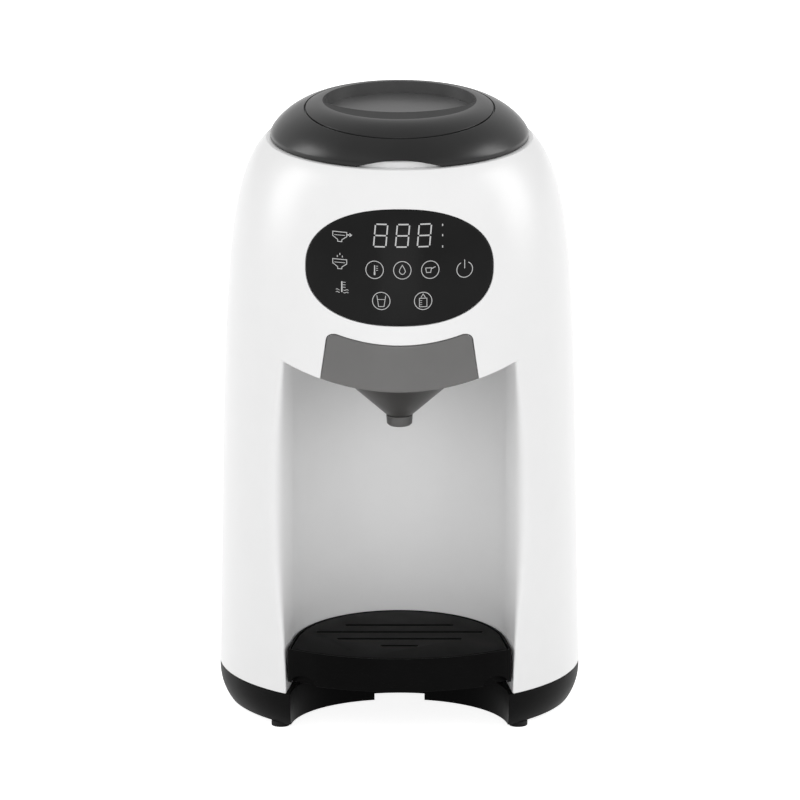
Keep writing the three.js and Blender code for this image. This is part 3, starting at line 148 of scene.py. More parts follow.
# Funnel
FUNNEL_Y = -38.0
FUNNEL_RADIUS = 33.0
FUNNEL_WALL = 1.8
CONE_FOOT = 151.0
CONE_FOOT_ROUND = 0.6
CONE_TOP = 174.7
CONE_TOP_ROUND = 3.0
BOWL_ROUND = 2.0
OUTLET_ROUND = 0.8
NECK_RADIUS = 4.4
NECK_FOOT = 148.0
FUNNEL_TOP = 192.5
FLANGE_THICKNESS = 2.2
FLANGE_HALF_WIDTH = 35.6
BORE_RADIUS = 3.0
PLATE_THICKNESS = 2.6
PLATE_HALF_WIDTH = 37.8
PLATE_SHOULDER_HALF_WIDTH = 35.1
PLATE_SHOULDER_HEIGHT = 195.9
PLATE_TOP_HALF_WIDTH = 30.4
PLATE_TOP_HEIGHT = 200.5
PLATE_DIP = 4.2
PLATE_DEPTH = 20.0
PLATE_LAP = 0.6
PLATE_ROUND = 0.5
POCKET_CLEARANCE = 1.0
POCKET_TOP = FUNNEL_TOP + 9.0
SPOUT_RADIUS = 6.4
SPOUT_TIP_RADIUS = 6.1
SPOUT_EDGE = 0.9
SPOUT_EDGE_ROUND = 0.6
SPOUT_FACE_ROUND = 0.4
SPOUT_TOP_ROUND = 0.3
SPOUT_BORE_ROUND = 0.2
SPOUT_FOOT = 145.6
SPOUT_SEGMENTS = 96
CHUTE_RADIUS = 11.5
NOZZLE_X = -22.0
NOZZLE_RADIUS = 3.2
HOLE_CLEARANCE = 0.7

# Drip tray
TRAY_FRONT = 86.0
TRAY_FOOT = 25.5
TRAY_TOP = 41.8
TRAY_CLEARANCE = 0.8
TRAY_CORNER = 1.2
TRAY_ROUND = 0.3
TRAY_RIM = 1.2
TRAY_LEDGE = 3.4
TRAY_FLOOR = 2.5
TRAY_NOTCH_X = 46.0
TRAY_NOTCH_HALF_WIDTH = 5.8
TRAY_NOTCH_HEIGHT = 4.3
TRAY_NOTCH_DEPTH = 3.0
TRAY_NOTCH_SEGMENTS = 64
GRATE_FOOT = TRAY_TOP - 2.8
GRATE_CLEARANCE = 0.8
GRATE_ROUND = 0.2
HEEL_DEPTH = 20.0
SLOT_WIDTH = 2.6
SLOT_PITCH = 12.4
FIRST_SLOT_Y = BAY_REAR - 28.5
SLOT_HALF_LENGTHS = (26.0, 40.0, 30.0, 9.0)

# Lid
LID_RADIUS = 62.0
LID_RIM = 2.2
LID_RIM_ROUND = 0.3
LID_DOME_POWER = 1.8
LID_DOME_ROUND_POWER = 0.77
LID_DOME_SPACING_POWER = 1.6
LID_SHOULDER_RADIUS = 58.7
LID_DISH_RADIUS = 37.0
LID_FOOT = SHELF_HEIGHT + GAP
LID_TOP = 296.5
LID_DISH_DEPTH = 5.9
LID_DISH_FRONT_RADIUS = 44.0
LID_DISH_FRONT_SHIFT = 20.6
LID_WALL = 2.4
LID_WALL_ROUND = 0.6
LID_SKIRT = 2.1
LID_SKIRT_ROUND = 0.2
LID_LIP = 0.6
LID_GROOVE_RADIUS = 45.5
LID_GROOVE_SHIFT = 7.0
LID_GROOVE = 0.9
LID_NOTCH_HALF_WIDTH = 20.6
LID_NOTCH_RISE = 3.7
LID_NOTCH_DEPTH = 12.0
LID_NOTCH_SEGMENTS = 384
LID_SHARP_ANGLE = 24
LID_FLOOR_BAND = 0.2
LID_LEVEL_NORMAL = 0.9

# Water tank
TANK_TOP = 214.0
TANK_WALL = 2.5
TANK_FLOOR = 3.0
TANK_FRONT = BACK_PLANE + GAP
TANK_RINGS = 60
TANK_INSIDE_SEGMENTS = 192
TANK_INSIDE_RINGS = 40
TANK_LID_THICKNESS = 2.5
TANK_LID_ROUND = 0.5
TANK_LID_SETBACK = 1.0
HINGE_Y = 72.6
HINGE_HEIGHT = TANK_TOP + 3.6
KNUCKLE_RADIUS = 2.8
KNUCKLE_X = 27.0
KNUCKLE_LENGTH = 8.0
KNUCKLE_SEGMENTS = 48
LEAF_LAP = 1.0
LUG_LENGTH = 4.0
COUPLING_X = 26.0
COUPLING_Y = 94.0
COUPLING_WALL = 2.2
VALVE_RADIUS = 6.0

# Where the upright axis of the body lies in the frame of the part
AXIS_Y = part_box("drip_tray")[0].y / MM + TRAY_FRONT


def shell_radius(z):
    share = z / CROWN_HEIGHT
    return BODY_RADIUS * (1 - TAPER_SHARE * share) * (1 - share ** DOME_POWER) ** DOME_ROUND_POWER


REAR_REACH = shell_radius(HOUSING_FOOT) * REAR_DEPTH_SHARE


# Meshes
def solid(name, points, faces):
    mesh = bpy.data.meshes.new(name)
    placed = (np.asarray(points, float) + (0, AXIS_Y, 0)) * MM
    mesh.from_pydata([tuple(p) for p in placed], [], faces)
    bm = bmesh.new()
    bm.from_mesh(mesh)
    bmesh.ops.remove_doubles(bm, verts=bm.verts, dist=MERGE_DISTANCE)
    bmesh.ops.recalc_face_normals(bm, faces=bm.faces)
    bm.to_mesh(mesh)
    bm.free()
    made = bpy.data.objects.new(name, mesh)
    bpy.context.scene.collection.objects.link(made)
    return made


def loft(name, rings):
    """Closed skin over rings with equal counts, lowest first."""
    count = len(rings[0])
    faces = [tuple(reversed(range(count)))]
    for ring in range(len(rings) - 1):
        low = ring * count
        for i in range(count):
            j = (i + 1) % count
            faces.append((low + i, low + j, low + count + j, low + count + i))
    last = (len(rings) - 1) * count
    faces.append(tuple(range(last, last + count)))
    return solid(name, np.vstack(rings), faces)


def block(name, x0, x1, y0, y1, z0, z1):
    ring = [(x0, y0), (x1, y0), (x1, y1), (x0, y1)]
    return loft(name, [[(x, y, z) for x, y in ring] for z in (z0, z1)])


def bezier(start, middle, end, steps):
    a, b, c = (np.array(point, float) for point in (start, middle, end))
    shares = np.linspace(0, 1, steps + 1)[:, None]
    return (1 - shares) ** 2 * a + 2 * shares * (1 - shares) * b + shares ** 2 * c


def rounded(points, steps=5):
    """Closed outline of (a, b, radius) corners with each corner turned into an arc."""
    outline = []
    count = len(points)
    for i, (a, b, radius) in enumerate(points):
        corner = np.array((a, b), float)
        if radius == 0:
            outline.append(corner)
            continue
        arms = []
        for neighbour in (points[i - 1], points[(i + 1) % count]):
            arm = np.array(neighbour[:2], float) - corner
            length = np.hypot(*arm)
            arms.append((arm / length, length))
        (before, before_length), (after, after_length) = arms
        cosine = np.clip(np.dot(before, after), -MOST_COSINE, MOST_COSINE)
        tangent = radius / math.tan(math.acos(cosine) / 2)
        tangent = min(tangent, ARM_SHARE * min(before_length, after_length))
        outline.extend(bezier(corner + before * tangent, corner, corner + after * tangent, steps))
    return outline


def turned(name, profile, x=0.0, y=0.0, segments=160):
    """A closed profile of (radius, height, corner) turned about an upright axis."""
    outline = rounded(profile)
    angles = np.arange(segments) * TAU / segments
    points = [(x + r * math.cos(a), y + r * math.sin(a), z) for a in angles for r, z in outline]
    count = len(outline)
    faces = []
    for i in range(segments):
        here = i * count
        there = ((i + 1) % segments) * count
        for k in range(count):
            n = (k + 1) % count
            if outline[k][0] < ON_AXIS and outline[n][0] < ON_AXIS:
                continue
            faces.append((here + k, there + k, there + n, here + n))
    return solid(name, points, faces)


def inward(outline, distance):
    """Outline moved in by a small distance along its own normals."""
    p = np.asarray(outline, float)
    ahead = np.roll(p, -1, 0) - p
    ahead /= np.maximum(np.hypot(*ahead.T), TINY)[:, None]
    behind = np.roll(ahead, 1, 0)
    normal = np.stack((-(ahead + behind)[:, 1], (ahead + behind)[:, 0]), 1)
    normal /= np.maximum(np.hypot(*normal.T), TINY)[:, None]
    area = 0.5 * np.sum(p[:, 0] * np.roll(p[:, 1], -1) - np.roll(p[:, 0], -1) * p[:, 1])
    mitre = np.clip(np.sqrt((1 + np.sum(ahead * behind, 1)) / 2), LEAST_MITRE, 1)
    return p + normal * (math.copysign(distance, area) / mitre)[:, None]


def prism(name, outline, low, high, edge=0.0, along="z", steps=3):
    """An outline carried from low to high, with its end edges rounded by edge."""
    levels = [(low, 0.0), (high, 0.0)]
    if edge:
        turn = [(1 - math.sin(a), 1 - math.cos(a)) for a in np.linspace(0, math.pi / 2, steps + 1)]
        levels = [(low + edge * v, edge * u) for u, v in turn]
        levels += [(high - edge * v, edge * u) for u, v in reversed(turn)]
    rings = []
    for level, inset in levels:
        ring = inward(outline, inset)
        if along == "z":
            rings.append([(a, b, level) for a, b in ring])
        elif along == "y":
            rings.append([(a, level, b) for a, b in ring])
        else:
            rings.append([(level, a, b) for a, b in ring])
    return loft(name, rings)


def ellipse(half_a, half_b, a=0.0, b=0.0, segments=96):
    angles = np.arange(segments) * TAU / segments
    return np.stack((a + half_a * np.cos(angles), b + half_b * np.sin(angles)), 1)


def circle(radius, a=0.0, b=0.0, segments=96):
    return ellipse(radius, radius, a, b, segments)


def drill(radius, low, high, x=0.0, y=0.0):
    return prism("drill", circle(radius, x, y), low, high)


def combine(target, operation, *tools):
    for tool in tools:
        modifier = target.modifiers.new("combine", "BOOLEAN")
        modifier.operation = operation
        modifier.solver = "MANIFOLD"
        modifier.object = tool
        graph = bpy.context.evaluated_depsgraph_get()
        mesh = bpy.data.meshes.new_from_object(target.evaluated_get(graph))
        target.modifiers.clear()
        old = target.data
        target.data = mesh
        bpy.data.meshes.remove(old)
        bpy.data.objects.remove(tool)
    return target


def cut(target, *tools):
    return combine(target, "DIFFERENCE", *tools)


def join(target, *others):
    return combine(target, "UNION", *others)


def common(target, *others):
    return combine(target, "INTERSECT", *others)


def dress(piece, name, body, finish, replaced=(), angle=SHARP_ANGLE):
    piece.name = name
    piece.data.name = name
    piece.data.materials.clear()
    piece.data.materials.append(finish)
    piece.data.shade_smooth()
    piece.data.set_sharp_from_angle(angle=math.radians(angle))
    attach(piece, body)
    if replaced:
        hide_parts(*replaced)
    return piece


# Skins of the body, as in the part
def plan_ring(radius, depth, power, z, segments):
    angles = np.arange(segments) * TAU / segments
    x, y = np.cos(angles), np.sin(angles)
    back = y > 0
    rear_x = radius * np.sign(x) * np.abs(x) ** (2 / power)
    rear_y = depth * np.abs(y) ** (2 / power)
    return np.stack((
        np.where(back, rear_x, radius * x),
        np.where(back, rear_y, radius * y),
        np.full(segments, z),
    ), 1)


def body_ring(z, inset, segments):
    share = min(max((z - SHOULDER_FOOT) / (SHOULDER_TOP - SHOULDER_FOOT), 0), 1)
    blend = (1 + math.cos(math.pi * share)) / 2
    radius = shell_radius(z)
    depth = radius * (1 + (REAR_DEPTH_SHARE - 1) * blend)
    return plan_ring(radius - inset, depth - inset, 2 + (REAR_POWER - 2) * blend, z, segments)


def body_solid(inset, low, high, segments=SKIN_SEGMENTS, rings=SKIN_RINGS):
    shares = [1 - (1 - i / rings) ** 2 for i in range(rings + 1)]
    return loft("skin", [body_ring(low + (high - low) * s, inset, segments) for s in shares])


def behind(y):
    reach = REAR_REACH + OVERRUN
    return block("behind", -reach, reach, y, reach, -OVERRUN, CROWN_HEIGHT)


def in_front(y):
    reach = REAR_REACH + OVERRUN
    return block("front", -reach, reach, -reach, y, -OVERRUN, CROWN_HEIGHT)


def bay_arc(grow, steps):
    start = math.asin(BAY_WALL_RUN / BAY_REACH)
    angles = np.linspace(start, math.pi - start, steps + 1)
    return np.stack((
        (BAY_HALF_WIDTH + grow) * np.cos(angles),
        BAY_CENTRE_Y + (BAY_REACH + grow) * np.sin(angles),
    ), 1)


def cross(a, b):
    return a[0] * b[1] - a[1] * b[0]


def bay_ring(z, grow, arc_steps=80, mouth_steps=12):
    swell = max(0.0, 1 - ((z - BAY_WIDEST_HEIGHT) / BAY_SWELL_REACH) ** 2) ** 2
    arc = bay_arc(grow, arc_steps)
    front = shell_radius(z) - grow
    corner_x = BAY_CORNER_HALF_WIDTH + grow + BAY_SWELL * swell
    corner = np.array((corner_x, -math.sqrt(front ** 2 - corner_x ** 2)))
    length = MOUTH_ROUND + MOUTH_ROUND_SWELL * swell
    wall = arc[0] - corner
    wall /= np.hypot(*wall)
    turn = math.atan2(corner[1], corner[0]) + length / front
    tangent = np.array((-math.sin(turn), math.cos(turn)))
    outer = front * np.array((math.cos(turn), math.sin(turn)))
    meeting = corner + wall * cross(outer - corner, tangent) / cross(wall, tangent)
    mouth = bezier(outer, meeting, corner + wall * length, mouth_steps)
    right = np.vstack(([outer[0], -BODY_RADIUS - OVERRUN], mouth))
    plan = np.vstack((right, arc, right[::-1] * (-1, 1)))
    return np.column_stack((plan, np.full(len(plan), z)))


def ceiling_at(x):
    return CEILING_HEIGHT + CEILING_RISE * (x / CEILING_RISE_HALF_WIDTH) ** 2


def bay_solid(grow, rings=56, steps=96):
    low = HOUSING_FOOT - OVERRUN
    high = ceiling_at(BODY_RADIUS) + OVERRUN
    walls = loft("bay", [bay_ring(z, grow) for z in np.linspace(low, high, rings + 1)])
    reach = BODY_RADIUS + OVERRUN
    ceiling = [(x, ceiling_at(x) + grow) for x in np.linspace(reach, -reach, steps + 1)]
    outline = [(-reach, low - OVERRUN), (reach, low - OVERRUN)] + ceiling
    return common(walls, prism("under_ceiling", outline, -reach - OVERRUN, reach, along="y"))


def plate_outline(margin, steps=24):
    foot = ceiling_at(PLATE_HALF_WIDTH)
    half = PLATE_HALF_WIDTH + margin
    shoulder = PLATE_SHOULDER_HALF_WIDTH + margin
    top = PLATE_TOP_HEIGHT + margin
    corner = (PLATE_TOP_HALF_WIDTH, top)
    low_middle = (0, 2 * CEILING_HEIGHT - foot - margin)
    bottom = bezier((-half, foot - margin), low_middle, (half, foot - margin), 2 * steps)
    right = bezier((shoulder, PLATE_SHOULDER_HEIGHT + margin), (shoulder, top), corner, steps // 3)
    dip = bezier(corner, (0, top - 2 * PLATE_DIP), (-PLATE_TOP_HALF_WIDTH, top), 2 * steps)
    side = [bottom[-1] + (right[0] - bottom[-1]) * s for s in np.linspace(0, 1, steps // 2)[1:-1]]
    left = right[::-1] * (-1, 1)
    other = [(-x, z) for x, z in side[::-1]]
    return np.vstack((bottom, side, right, dip[1:-1], left, other))


def pocket_plan(half_width, steps=64):
    angles = np.linspace(0, math.pi, steps + 1)
    arc = np.stack((half_width * np.cos(angles), FUNNEL_Y + half_width * np.sin(angles)), 1)
    front = -BODY_RADIUS - OVERRUN
    return np.vstack(([half_width, front], arc, [-half_width, front]))


def pocket_solid(grow):
    ledge = FUNNEL_TOP - FLANGE_THICKNESS - GAP
    bowl_plan = pocket_plan(FUNNEL_RADIUS + POCKET_CLEARANCE + grow)
    lower = prism("pocket", bowl_plan, CEILING_HEIGHT - OVERRUN, ledge)
    upper = pocket_plan(FLANGE_HALF_WIDTH + GAP + grow)
    track = prism("track", upper, ledge - grow, FUNNEL_TOP + GAP)
    headroom = common(
        prism("headroom", upper, FUNNEL_TOP, POCKET_TOP + grow),
        body_solid(WALL - grow, HOUSING_FOOT, SHELF_HEIGHT),
    )
    front = -BODY_RADIUS - OVERRUN
    rear = front + OVERRUN + PLATE_DEPTH + grow
    plate = prism("plate", plate_outline(GAP + grow), front, rear, along="y")
    return join(lower, track, headroom, plate)


def lens_outline(margin, count=160):
    angles = np.arange(count) * TAU / count
    x = np.sign(np.cos(angles)) * np.abs(np.cos(angles)) ** (2 / LENS_POWER)
    z = np.sign(np.sin(angles)) * np.abs(np.sin(angles)) ** (2 / LENS_POWER)
    return np.stack((
        (LENS_HALF_WIDTH + margin) * x,
        LENS_HEIGHT + (LENS_HALF_HEIGHT + margin) * z - LENS_DROOP * x ** 2,
    ), 1)


def skin_y(x, z, inset=0.0):
    return -math.sqrt((shell_radius(z) - inset) ** 2 - x * x)


def skin_patch(name, outline, centre, thickness, edge, rings=16, steps=4):
    """A plate that follows the front of the body inside an outline, with a rounded rim."""
    outline = np.asarray(outline, float)
    centre = np.array(centre, float)
    inner = inward(outline, edge)
    shares = np.linspace(CORE_SHARE, 1, rings)
    turn = np.linspace(0, math.pi / 2, steps + 1)[1:]
    layers = [(centre + (inner - centre) * s, 0.0) for s in shares]
    layers += [(inward(outline, edge * (1 - math.sin(a))), edge * (1 - math.cos(a))) for a in turn]
    layers += [(centre + (outline - centre) * s, thickness) for s in shares[::-1]]
    return loft(name, [[(x, skin_y(x, z, inset), z) for x, z in plan] for plan, inset in layers])


# Finishes
PLASTIC_IOR = 1.46
LEAST_ROUGHNESS = 0.02
GRAIN_DETAIL = {"Detail": 3.0, "Roughness": 0.6}
CLOUD_DETAIL = {"Detail": 4.0, "Roughness": 0.55}
DRIFT_POSITIONS = (0.35, 0.65)
RELIEF_DISTANCE = 0.0002
BEVEL_SAMPLES = 6
SRGB_LEVELS = 255
SRGB_OFFSET = 0.055
SRGB_POWER = 2.4


def node(tree, kind, **values):
    made = tree.nodes.new(kind)
    for key, value in values.items():
        if key in made.inputs:
            made.inputs[key].default_value = value
        else:
            setattr(made, key, value)
    return made


def plastic(
    name, colour, roughness, grain=1400.0, bump=0.05, spread=0.06, tint=0.04,
    transmission=0.0, specular=0.5, metallic=0.0, edge=0.0, stretch=(1.0, 1.0, 1.0), mottle=55.0,
):
    """Moulded or machined finish: fine grain in the bump, cloudy gloss and a slight drift of colour."""
    material = bpy.data.materials.new(name)
    material.use_nodes = True
    tree = material.node_tree
    shader = tree.nodes["Principled BSDF"]
    shader.inputs["Transmission Weight"].default_value = transmission
    shader.inputs["Specular IOR Level"].default_value = specular
    shader.inputs["Metallic"].default_value = metallic
    shader.inputs["IOR"].default_value = PLASTIC_IOR
    link = tree.links.new
    place = node(tree, "ShaderNodeTexCoord")
    scale = node(tree, "ShaderNodeMapping", Scale=stretch)
    link(place.outputs["Object"], scale.inputs["Vector"])
    fine = node(tree, "ShaderNodeTexNoise", Scale=grain, **GRAIN_DETAIL)
    cloud = node(tree, "ShaderNodeTexNoise", Scale=mottle, **CLOUD_DETAIL)
    for texture in (fine, cloud):
        link(scale.outputs["Vector"], texture.inputs["Vector"])
    gloss = node(tree, "ShaderNodeMapRange")
    gloss.inputs["To Min"].default_value = max(roughness - spread, LEAST_ROUGHNESS)
    gloss.inputs["To Max"].default_value = roughness + spread
    link(cloud.outputs["Fac"], gloss.inputs["Value"])
    link(gloss.outputs["Result"], shader.inputs["Roughness"])
    ramp = node(tree, "ShaderNodeValToRGB")
    darker, lighter = ramp.color_ramp.elements
    darker.position, lighter.position = DRIFT_POSITIONS
    darker.color = (*(c * (1 - tint) for c in colour), 1)
    lighter.color = (*(min(c * (1 + tint), 1) for c in colour), 1)
    link(cloud.outputs["Fac"], ramp.inputs["Fac"])
    link(ramp.outputs["Color"], shader.inputs["Base Color"])
    relief = node(tree, "ShaderNodeBump", Strength=bump, Distance=RELIEF_DISTANCE)
    link(fine.outputs["Fac"], relief.inputs["Height"])
    if edge:
        soft = node(tree, "ShaderNodeBevel", samples=BEVEL_SAMPLES, Radius=edge * MM)
        link(soft.outputs["Normal"], relief.inputs["Normal"])
    link(relief.outputs["Normal"], shader.inputs["Normal"])
    return material


def grey(level, warm=0.0):
    """Linear colour of an sRGB grey between 0 and 255."""
    value = (level / SRGB_LEVELS + SRGB_OFFSET) ** SRGB_POWER / (1 + SRGB_OFFSET) ** SRGB_POWER
    return (value * (1 + warm), value, value * (1 - warm))


FINISH = {
    "white": plastic(
        "white_shell", grey(240), 0.34, grain=1700, bump=0.04, tint=0.006, specular=0.35, edge=0.5),
    "black": plastic(
        "black_plastic", grey(14), 0.42, grain=1300, bump=0.12, tint=0.12, specular=0.03, edge=0.5),
    "tray": plastic(
        "tray_plastic", grey(12), 0.45, grain=1300, bump=0.14, tint=0.12, specular=0.02, edge=0.5),
    "charcoal": plastic(
        "charcoal_plastic", grey(23), 0.32, grain=1100, bump=0.07, tint=0.08, specular=0.3, edge=0.3),
    # Lighter copy of the charcoal for the lid's dish floor and wall: a painted sheen.
    "dish": plastic(
        "charcoal_painted_sheen", grey(88), 0.4, grain=1100, bump=0.07, tint=0.08, specular=0.3),
    # Lighter copy of the charcoal for the level top in front of the dish: painted light.
    "painted_top_light": plastic(
        "charcoal_painted_top_light", grey(70), 0.6, grain=1100, bump=0.07, tint=0.08, specular=0.03),
    "panel": plastic(
        "panel_gloss", grey(30), 0.2, grain=500, bump=0.01, spread=0.03, tint=0.05, specular=0.05),
    "smoke": plastic(
        "smoked_plastic", grey(121, 0.015), 0.2, grain=900, bump=0.03, tint=0.03,
        transmission=0.35, specular=0.35),
    # Darker copy of the smoked plastic for the funnel's cone and flange: painted shade.
    "smoke_painted_shade": plastic(
        "smoked_plastic_painted_shade", grey(76, 0.03), 0.3, grain=900, bump=0.03, tint=0.03,
        transmission=0.2, specular=0.12),
    "tank": plastic(
        "tank_plastic", (0.62, 0.68, 0.72), 0.1, grain=600, bump=0.03, tint=0.02, transmission=0.85),
    "clear": plastic(
        "clear_plastic", (0.86, 0.88, 0.9), 0.12, grain=600, bump=0.03, tint=0.02, transmission=0.7),
    "grey": plastic("grey_plastic", grey(142), 0.5, grain=1100, bump=0.1, tint=0.05),
    "rubber": plastic("rubber", grey(20), 0.8, grain=2200, bump=0.3, tint=0.2, specular=0.25),
    "silicone": plastic(
        "silicone", grey(216), 0.62, grain=1500, bump=0.1, tint=0.03, transmission=0.15),
    "spout": plastic(
        "spout_silicone", grey(86, 0.02), 0.45, grain=1500, bump=0.08, tint=0.05, transmission=0.15),
    "steel": plastic(
        "steel", grey(186), 0.28, grain=2600, bump=0.08, tint=0.04, metallic=1.0, stretch=(1, 1, 0.05)),
    "brass": plastic(
        "brass", (0.62, 0.45, 0.2), 0.32, grain=2600, bump=0.06, tint=0.06, metallic=1.0),
    "board": plastic(
        "circuit_board", (0.015, 0.11, 0.045), 0.4, grain=500, bump=0.2, tint=0.3, mottle=300),
    "print": plastic("printed_marks", grey(196), 0.5, grain=1800, bump=0.02, tint=0.03, specular=0.2),
}

# Camera: places and sizes in metres
CAMERA_DISTANCE = 14.0
CAMERA_REACH = 80.0
VIEW_WIDTH = 0.3848
SENSOR_WIDTH = 36.0
ELEVATION = math.radians(15.0)
VIEW_CENTRE = Vector((0.00024, AXIS_Y * MM, 0.1475))
optics = bpy.data.cameras.new("camera")
optics.sensor_width = SENSOR_WIDTH
optics.lens = SENSOR_WIDTH * CAMERA_DISTANCE / VIEW_WIDTH
optics.clip_end = CAMERA_REACH
camera = bpy.data.objects.new("camera", optics)
camera.location = VIEW_CENTRE + CAMERA_DISTANCE * Vector((0, -math.cos(ELEVATION), math.sin(ELEVATION)))
camera.rotation_euler = (math.pi / 2 - ELEVATION, 0, 0)
bpy.context.scene.collection.objects.link(camera)
bpy.context.scene.camera = camera

bpy.context.scene.view_settings.view_transform = "Standard"


# Light and floor: places and sizes in metres, power in watts
AMBIENT = 0.84
LIGHT_AIM = Vector((0, 0, 0.15))
SOFTBOXES = {
    "key": ((-1.1, -1.5, 1.7), (1.4, 1.4), 3),
    "fill": ((1.4, -1.3, 1.2), (1.2, 1.2), 2),
    "front": ((0.0, -2.2, 0.2), (1.0, 1.0), 7),
}
STRIP_X = 1.8
STRIP_Y = 0.1
STRIP_HEIGHT = 0.9
STRIP_SIZE = (0.8, 1.4)
STRIP_POWER = 26
FLOOR_REACH = 15.0
FLOOR_ALBEDO = 0.88
FLOOR_GLOW = 0.88


def seen_directly(tree):
    """1 for rays that show a surface to the eye, also in a mirror or through glass."""
    path = node(tree, "ShaderNodeLightPath")
    either = node(tree, "ShaderNodeMath", operation="MAXIMUM")
    both = node(tree, "ShaderNodeMath", operation="MAXIMUM")
    tree.links.new(path.outputs["Is Camera Ray"], either.inputs[0])
    tree.links.new(path.outputs["Is Glossy Ray"], either.inputs[1])
    tree.links.new(either.outputs[0], both.inputs[0])
    tree.links.new(path.outputs["Is Transmission Ray"], both.inputs[1])
    return both.outputs[0]


def make_sky():
    world = bpy.data.worlds.new("studio")
    world.use_nodes = True
    bpy.context.scene.world = world
    tree = world.node_tree
    background = tree.nodes["Background"]
    background.inputs["Color"].default_value = (1, 1, 1, 1)
    strength = node(tree, "ShaderNodeMapRange")
    strength.inputs["To Min"].default_value = AMBIENT
    strength.inputs["To Max"].default_value = 1.0
    tree.links.new(seen_directly(tree), strength.inputs["Value"])
    tree.links.new(strength.outputs["Result"], background.inputs["Strength"])


def softbox(name, place, size, power):
    lamp = bpy.data.lights.new(name, "AREA")
    lamp.shape = "RECTANGLE"
    lamp.size, lamp.size_y = size
    lamp.energy = power
    made = bpy.data.objects.new(name, lamp)
    made.location = place
    made.rotation_euler = (LIGHT_AIM - Vector(place)).to_track_quat("-Z", "Y").to_euler()
    bpy.context.scene.collection.objects.link(made)
    return made


def make_floor():
    corners = [(-1, -1), (1, -1), (1, 1), (-1, 1)]
    mesh = bpy.data.meshes.new("floor")
    mesh.from_pydata([(FLOOR_REACH * x, FLOOR_REACH * y, 0) for x, y in corners], [], [(0, 1, 2, 3)])
    made = bpy.data.objects.new("floor", mesh)
    bpy.context.scene.collection.objects.link(made)
    paper = bpy.data.materials.new("floor_paper")
    paper.use_nodes = True
    tree = paper.node_tree
    matte = tree.nodes["Principled BSDF"]
    matte.inputs["Roughness"].default_value = 1.0
    matte.inputs["Specular IOR Level"].default_value = 0.0
    matte.inputs["Base Color"].default_value = (FLOOR_ALBEDO, FLOOR_ALBEDO, FLOOR_ALBEDO, 1)
    matte.inputs["Emission Color"].default_value = (1, 1, 1, 1)
    glow = node(tree, "ShaderNodeMapRange")
    glow.inputs["To Max"].default_value = FLOOR_GLOW
    tree.links.new(seen_directly(tree), glow.inputs["Value"])
    tree.links.new(glow.outputs["Result"], matte.inputs["Emission Strength"])
    mesh.materials.append(paper)
    return made


make_sky()
for name, (place, size, power) in SOFTBOXES.items():
    softbox(name, place, size, power)
for side in (-1, 1):
    place = (side * STRIP_X, STRIP_Y, STRIP_HEIGHT)
    softbox("strip", place, STRIP_SIZE, STRIP_POWER).visible_diffuse = False
floor = make_floor()


# Housing
def make_housing():
    cavity = cut(
        body_solid(WALL, HOUSING_FOOT - OVERRUN, SHELF_HEIGHT - WALL, CAVITY_SEGMENTS, CAVITY_RINGS),
        behind(BACK_PLANE - WALL),
        bay_solid(WALL),
        pocket_solid(WALL),
    )
    collar = turned("collar", [
        (CANISTER_RADIUS + GAP, SHELF_HEIGHT - WALL, 0),
        (COLLAR_RADIUS, SHELF_HEIGHT - WALL, 0),
        (COLLAR_RADIUS, COLLAR_TOP, COLLAR_ROUND),
        (FLANGE_RADIUS + GAP, COLLAR_TOP, COLLAR_SEAT_ROUND),
        (FLANGE_RADIUS + GAP, FLANGE_FOOT - GAP, 0),
        (CANISTER_RADIUS + GAP, FLANGE_FOOT - GAP, 0),
    ])
    lens_recess = cut(
        prism("recess", lens_outline(GAP), -BODY_RADIUS - OVERRUN, BAY_CENTRE_Y, along="y"),
        body_solid(LENS_THICKNESS + GAP, HOUSING_FOOT, SHELF_HEIGHT),
    )
    hole_foot = POCKET_TOP - OVERRUN
    hole_top = POCKET_TOP + WALL + OVERRUN
    shell = cut(
        body_solid(0, HOUSING_FOOT, SHELF_HEIGHT),
        behind(BACK_PLANE),
        bay_solid(0),
        pocket_solid(0),
        cavity,
        drill(CANISTER_RADIUS + GAP, SHELF_HEIGHT - WALL - OVERRUN, SHELF_HEIGHT + OVERRUN),
        lens_recess,
        drill(CHUTE_RADIUS + HOLE_CLEARANCE, hole_foot, hole_top, 0, FUNNEL_Y),
        drill(NOZZLE_RADIUS + HOLE_CLEARANCE, hole_foot, hole_top, NOZZLE_X, FUNNEL_Y),
    )
    return join(shell, collar)


dress(
    make_housing(), "shell", "machine", FINISH["white"],
    [
        "housing_left", "housing_right", "housing_top", "canister_collar",
        "bay_liner", "funnel_pocket", "rear_panel",
    ],
)
dress(
    skin_patch("lens", lens_outline(0), (0, LENS_HEIGHT), LENS_THICKNESS, LENS_ROUND),
    "panel_lens", "machine", FINISH["panel"], ["control_lens"],
)


# Base
def base_ring(z, inset, segments=SKIN_SEGMENTS):
    share = (z - FOOT_HEIGHT) / (BASE_TOP - FOOT_HEIGHT)
    radius = shell_radius(HOUSING_FOOT) - BASE_TUCK * (1 - share) ** BASE_TUCK_POWER
    return plan_ring(radius - inset, radius * REAR_DEPTH_SHARE - inset, REAR_POWER, z, segments)


def base_solid(inset, low, high, rings=14):
    return loft("base", [base_ring(z, inset) for z in np.linspace(low, high, rings + 1)])


def inlet_box(margin, shift=0.0):
    rear = REAR_REACH - INLET_SETBACK + shift
    middle = (FOOT_HEIGHT + BASE_TOP) / 2
    half_width = INLET_HALF_WIDTH + margin
    half_height = INLET_HALF_HEIGHT + margin
    return block(
        "inlet", -half_width, half_width, rear - INLET_DEPTH - margin, rear,
        middle - half_height, middle + half_height,
    )


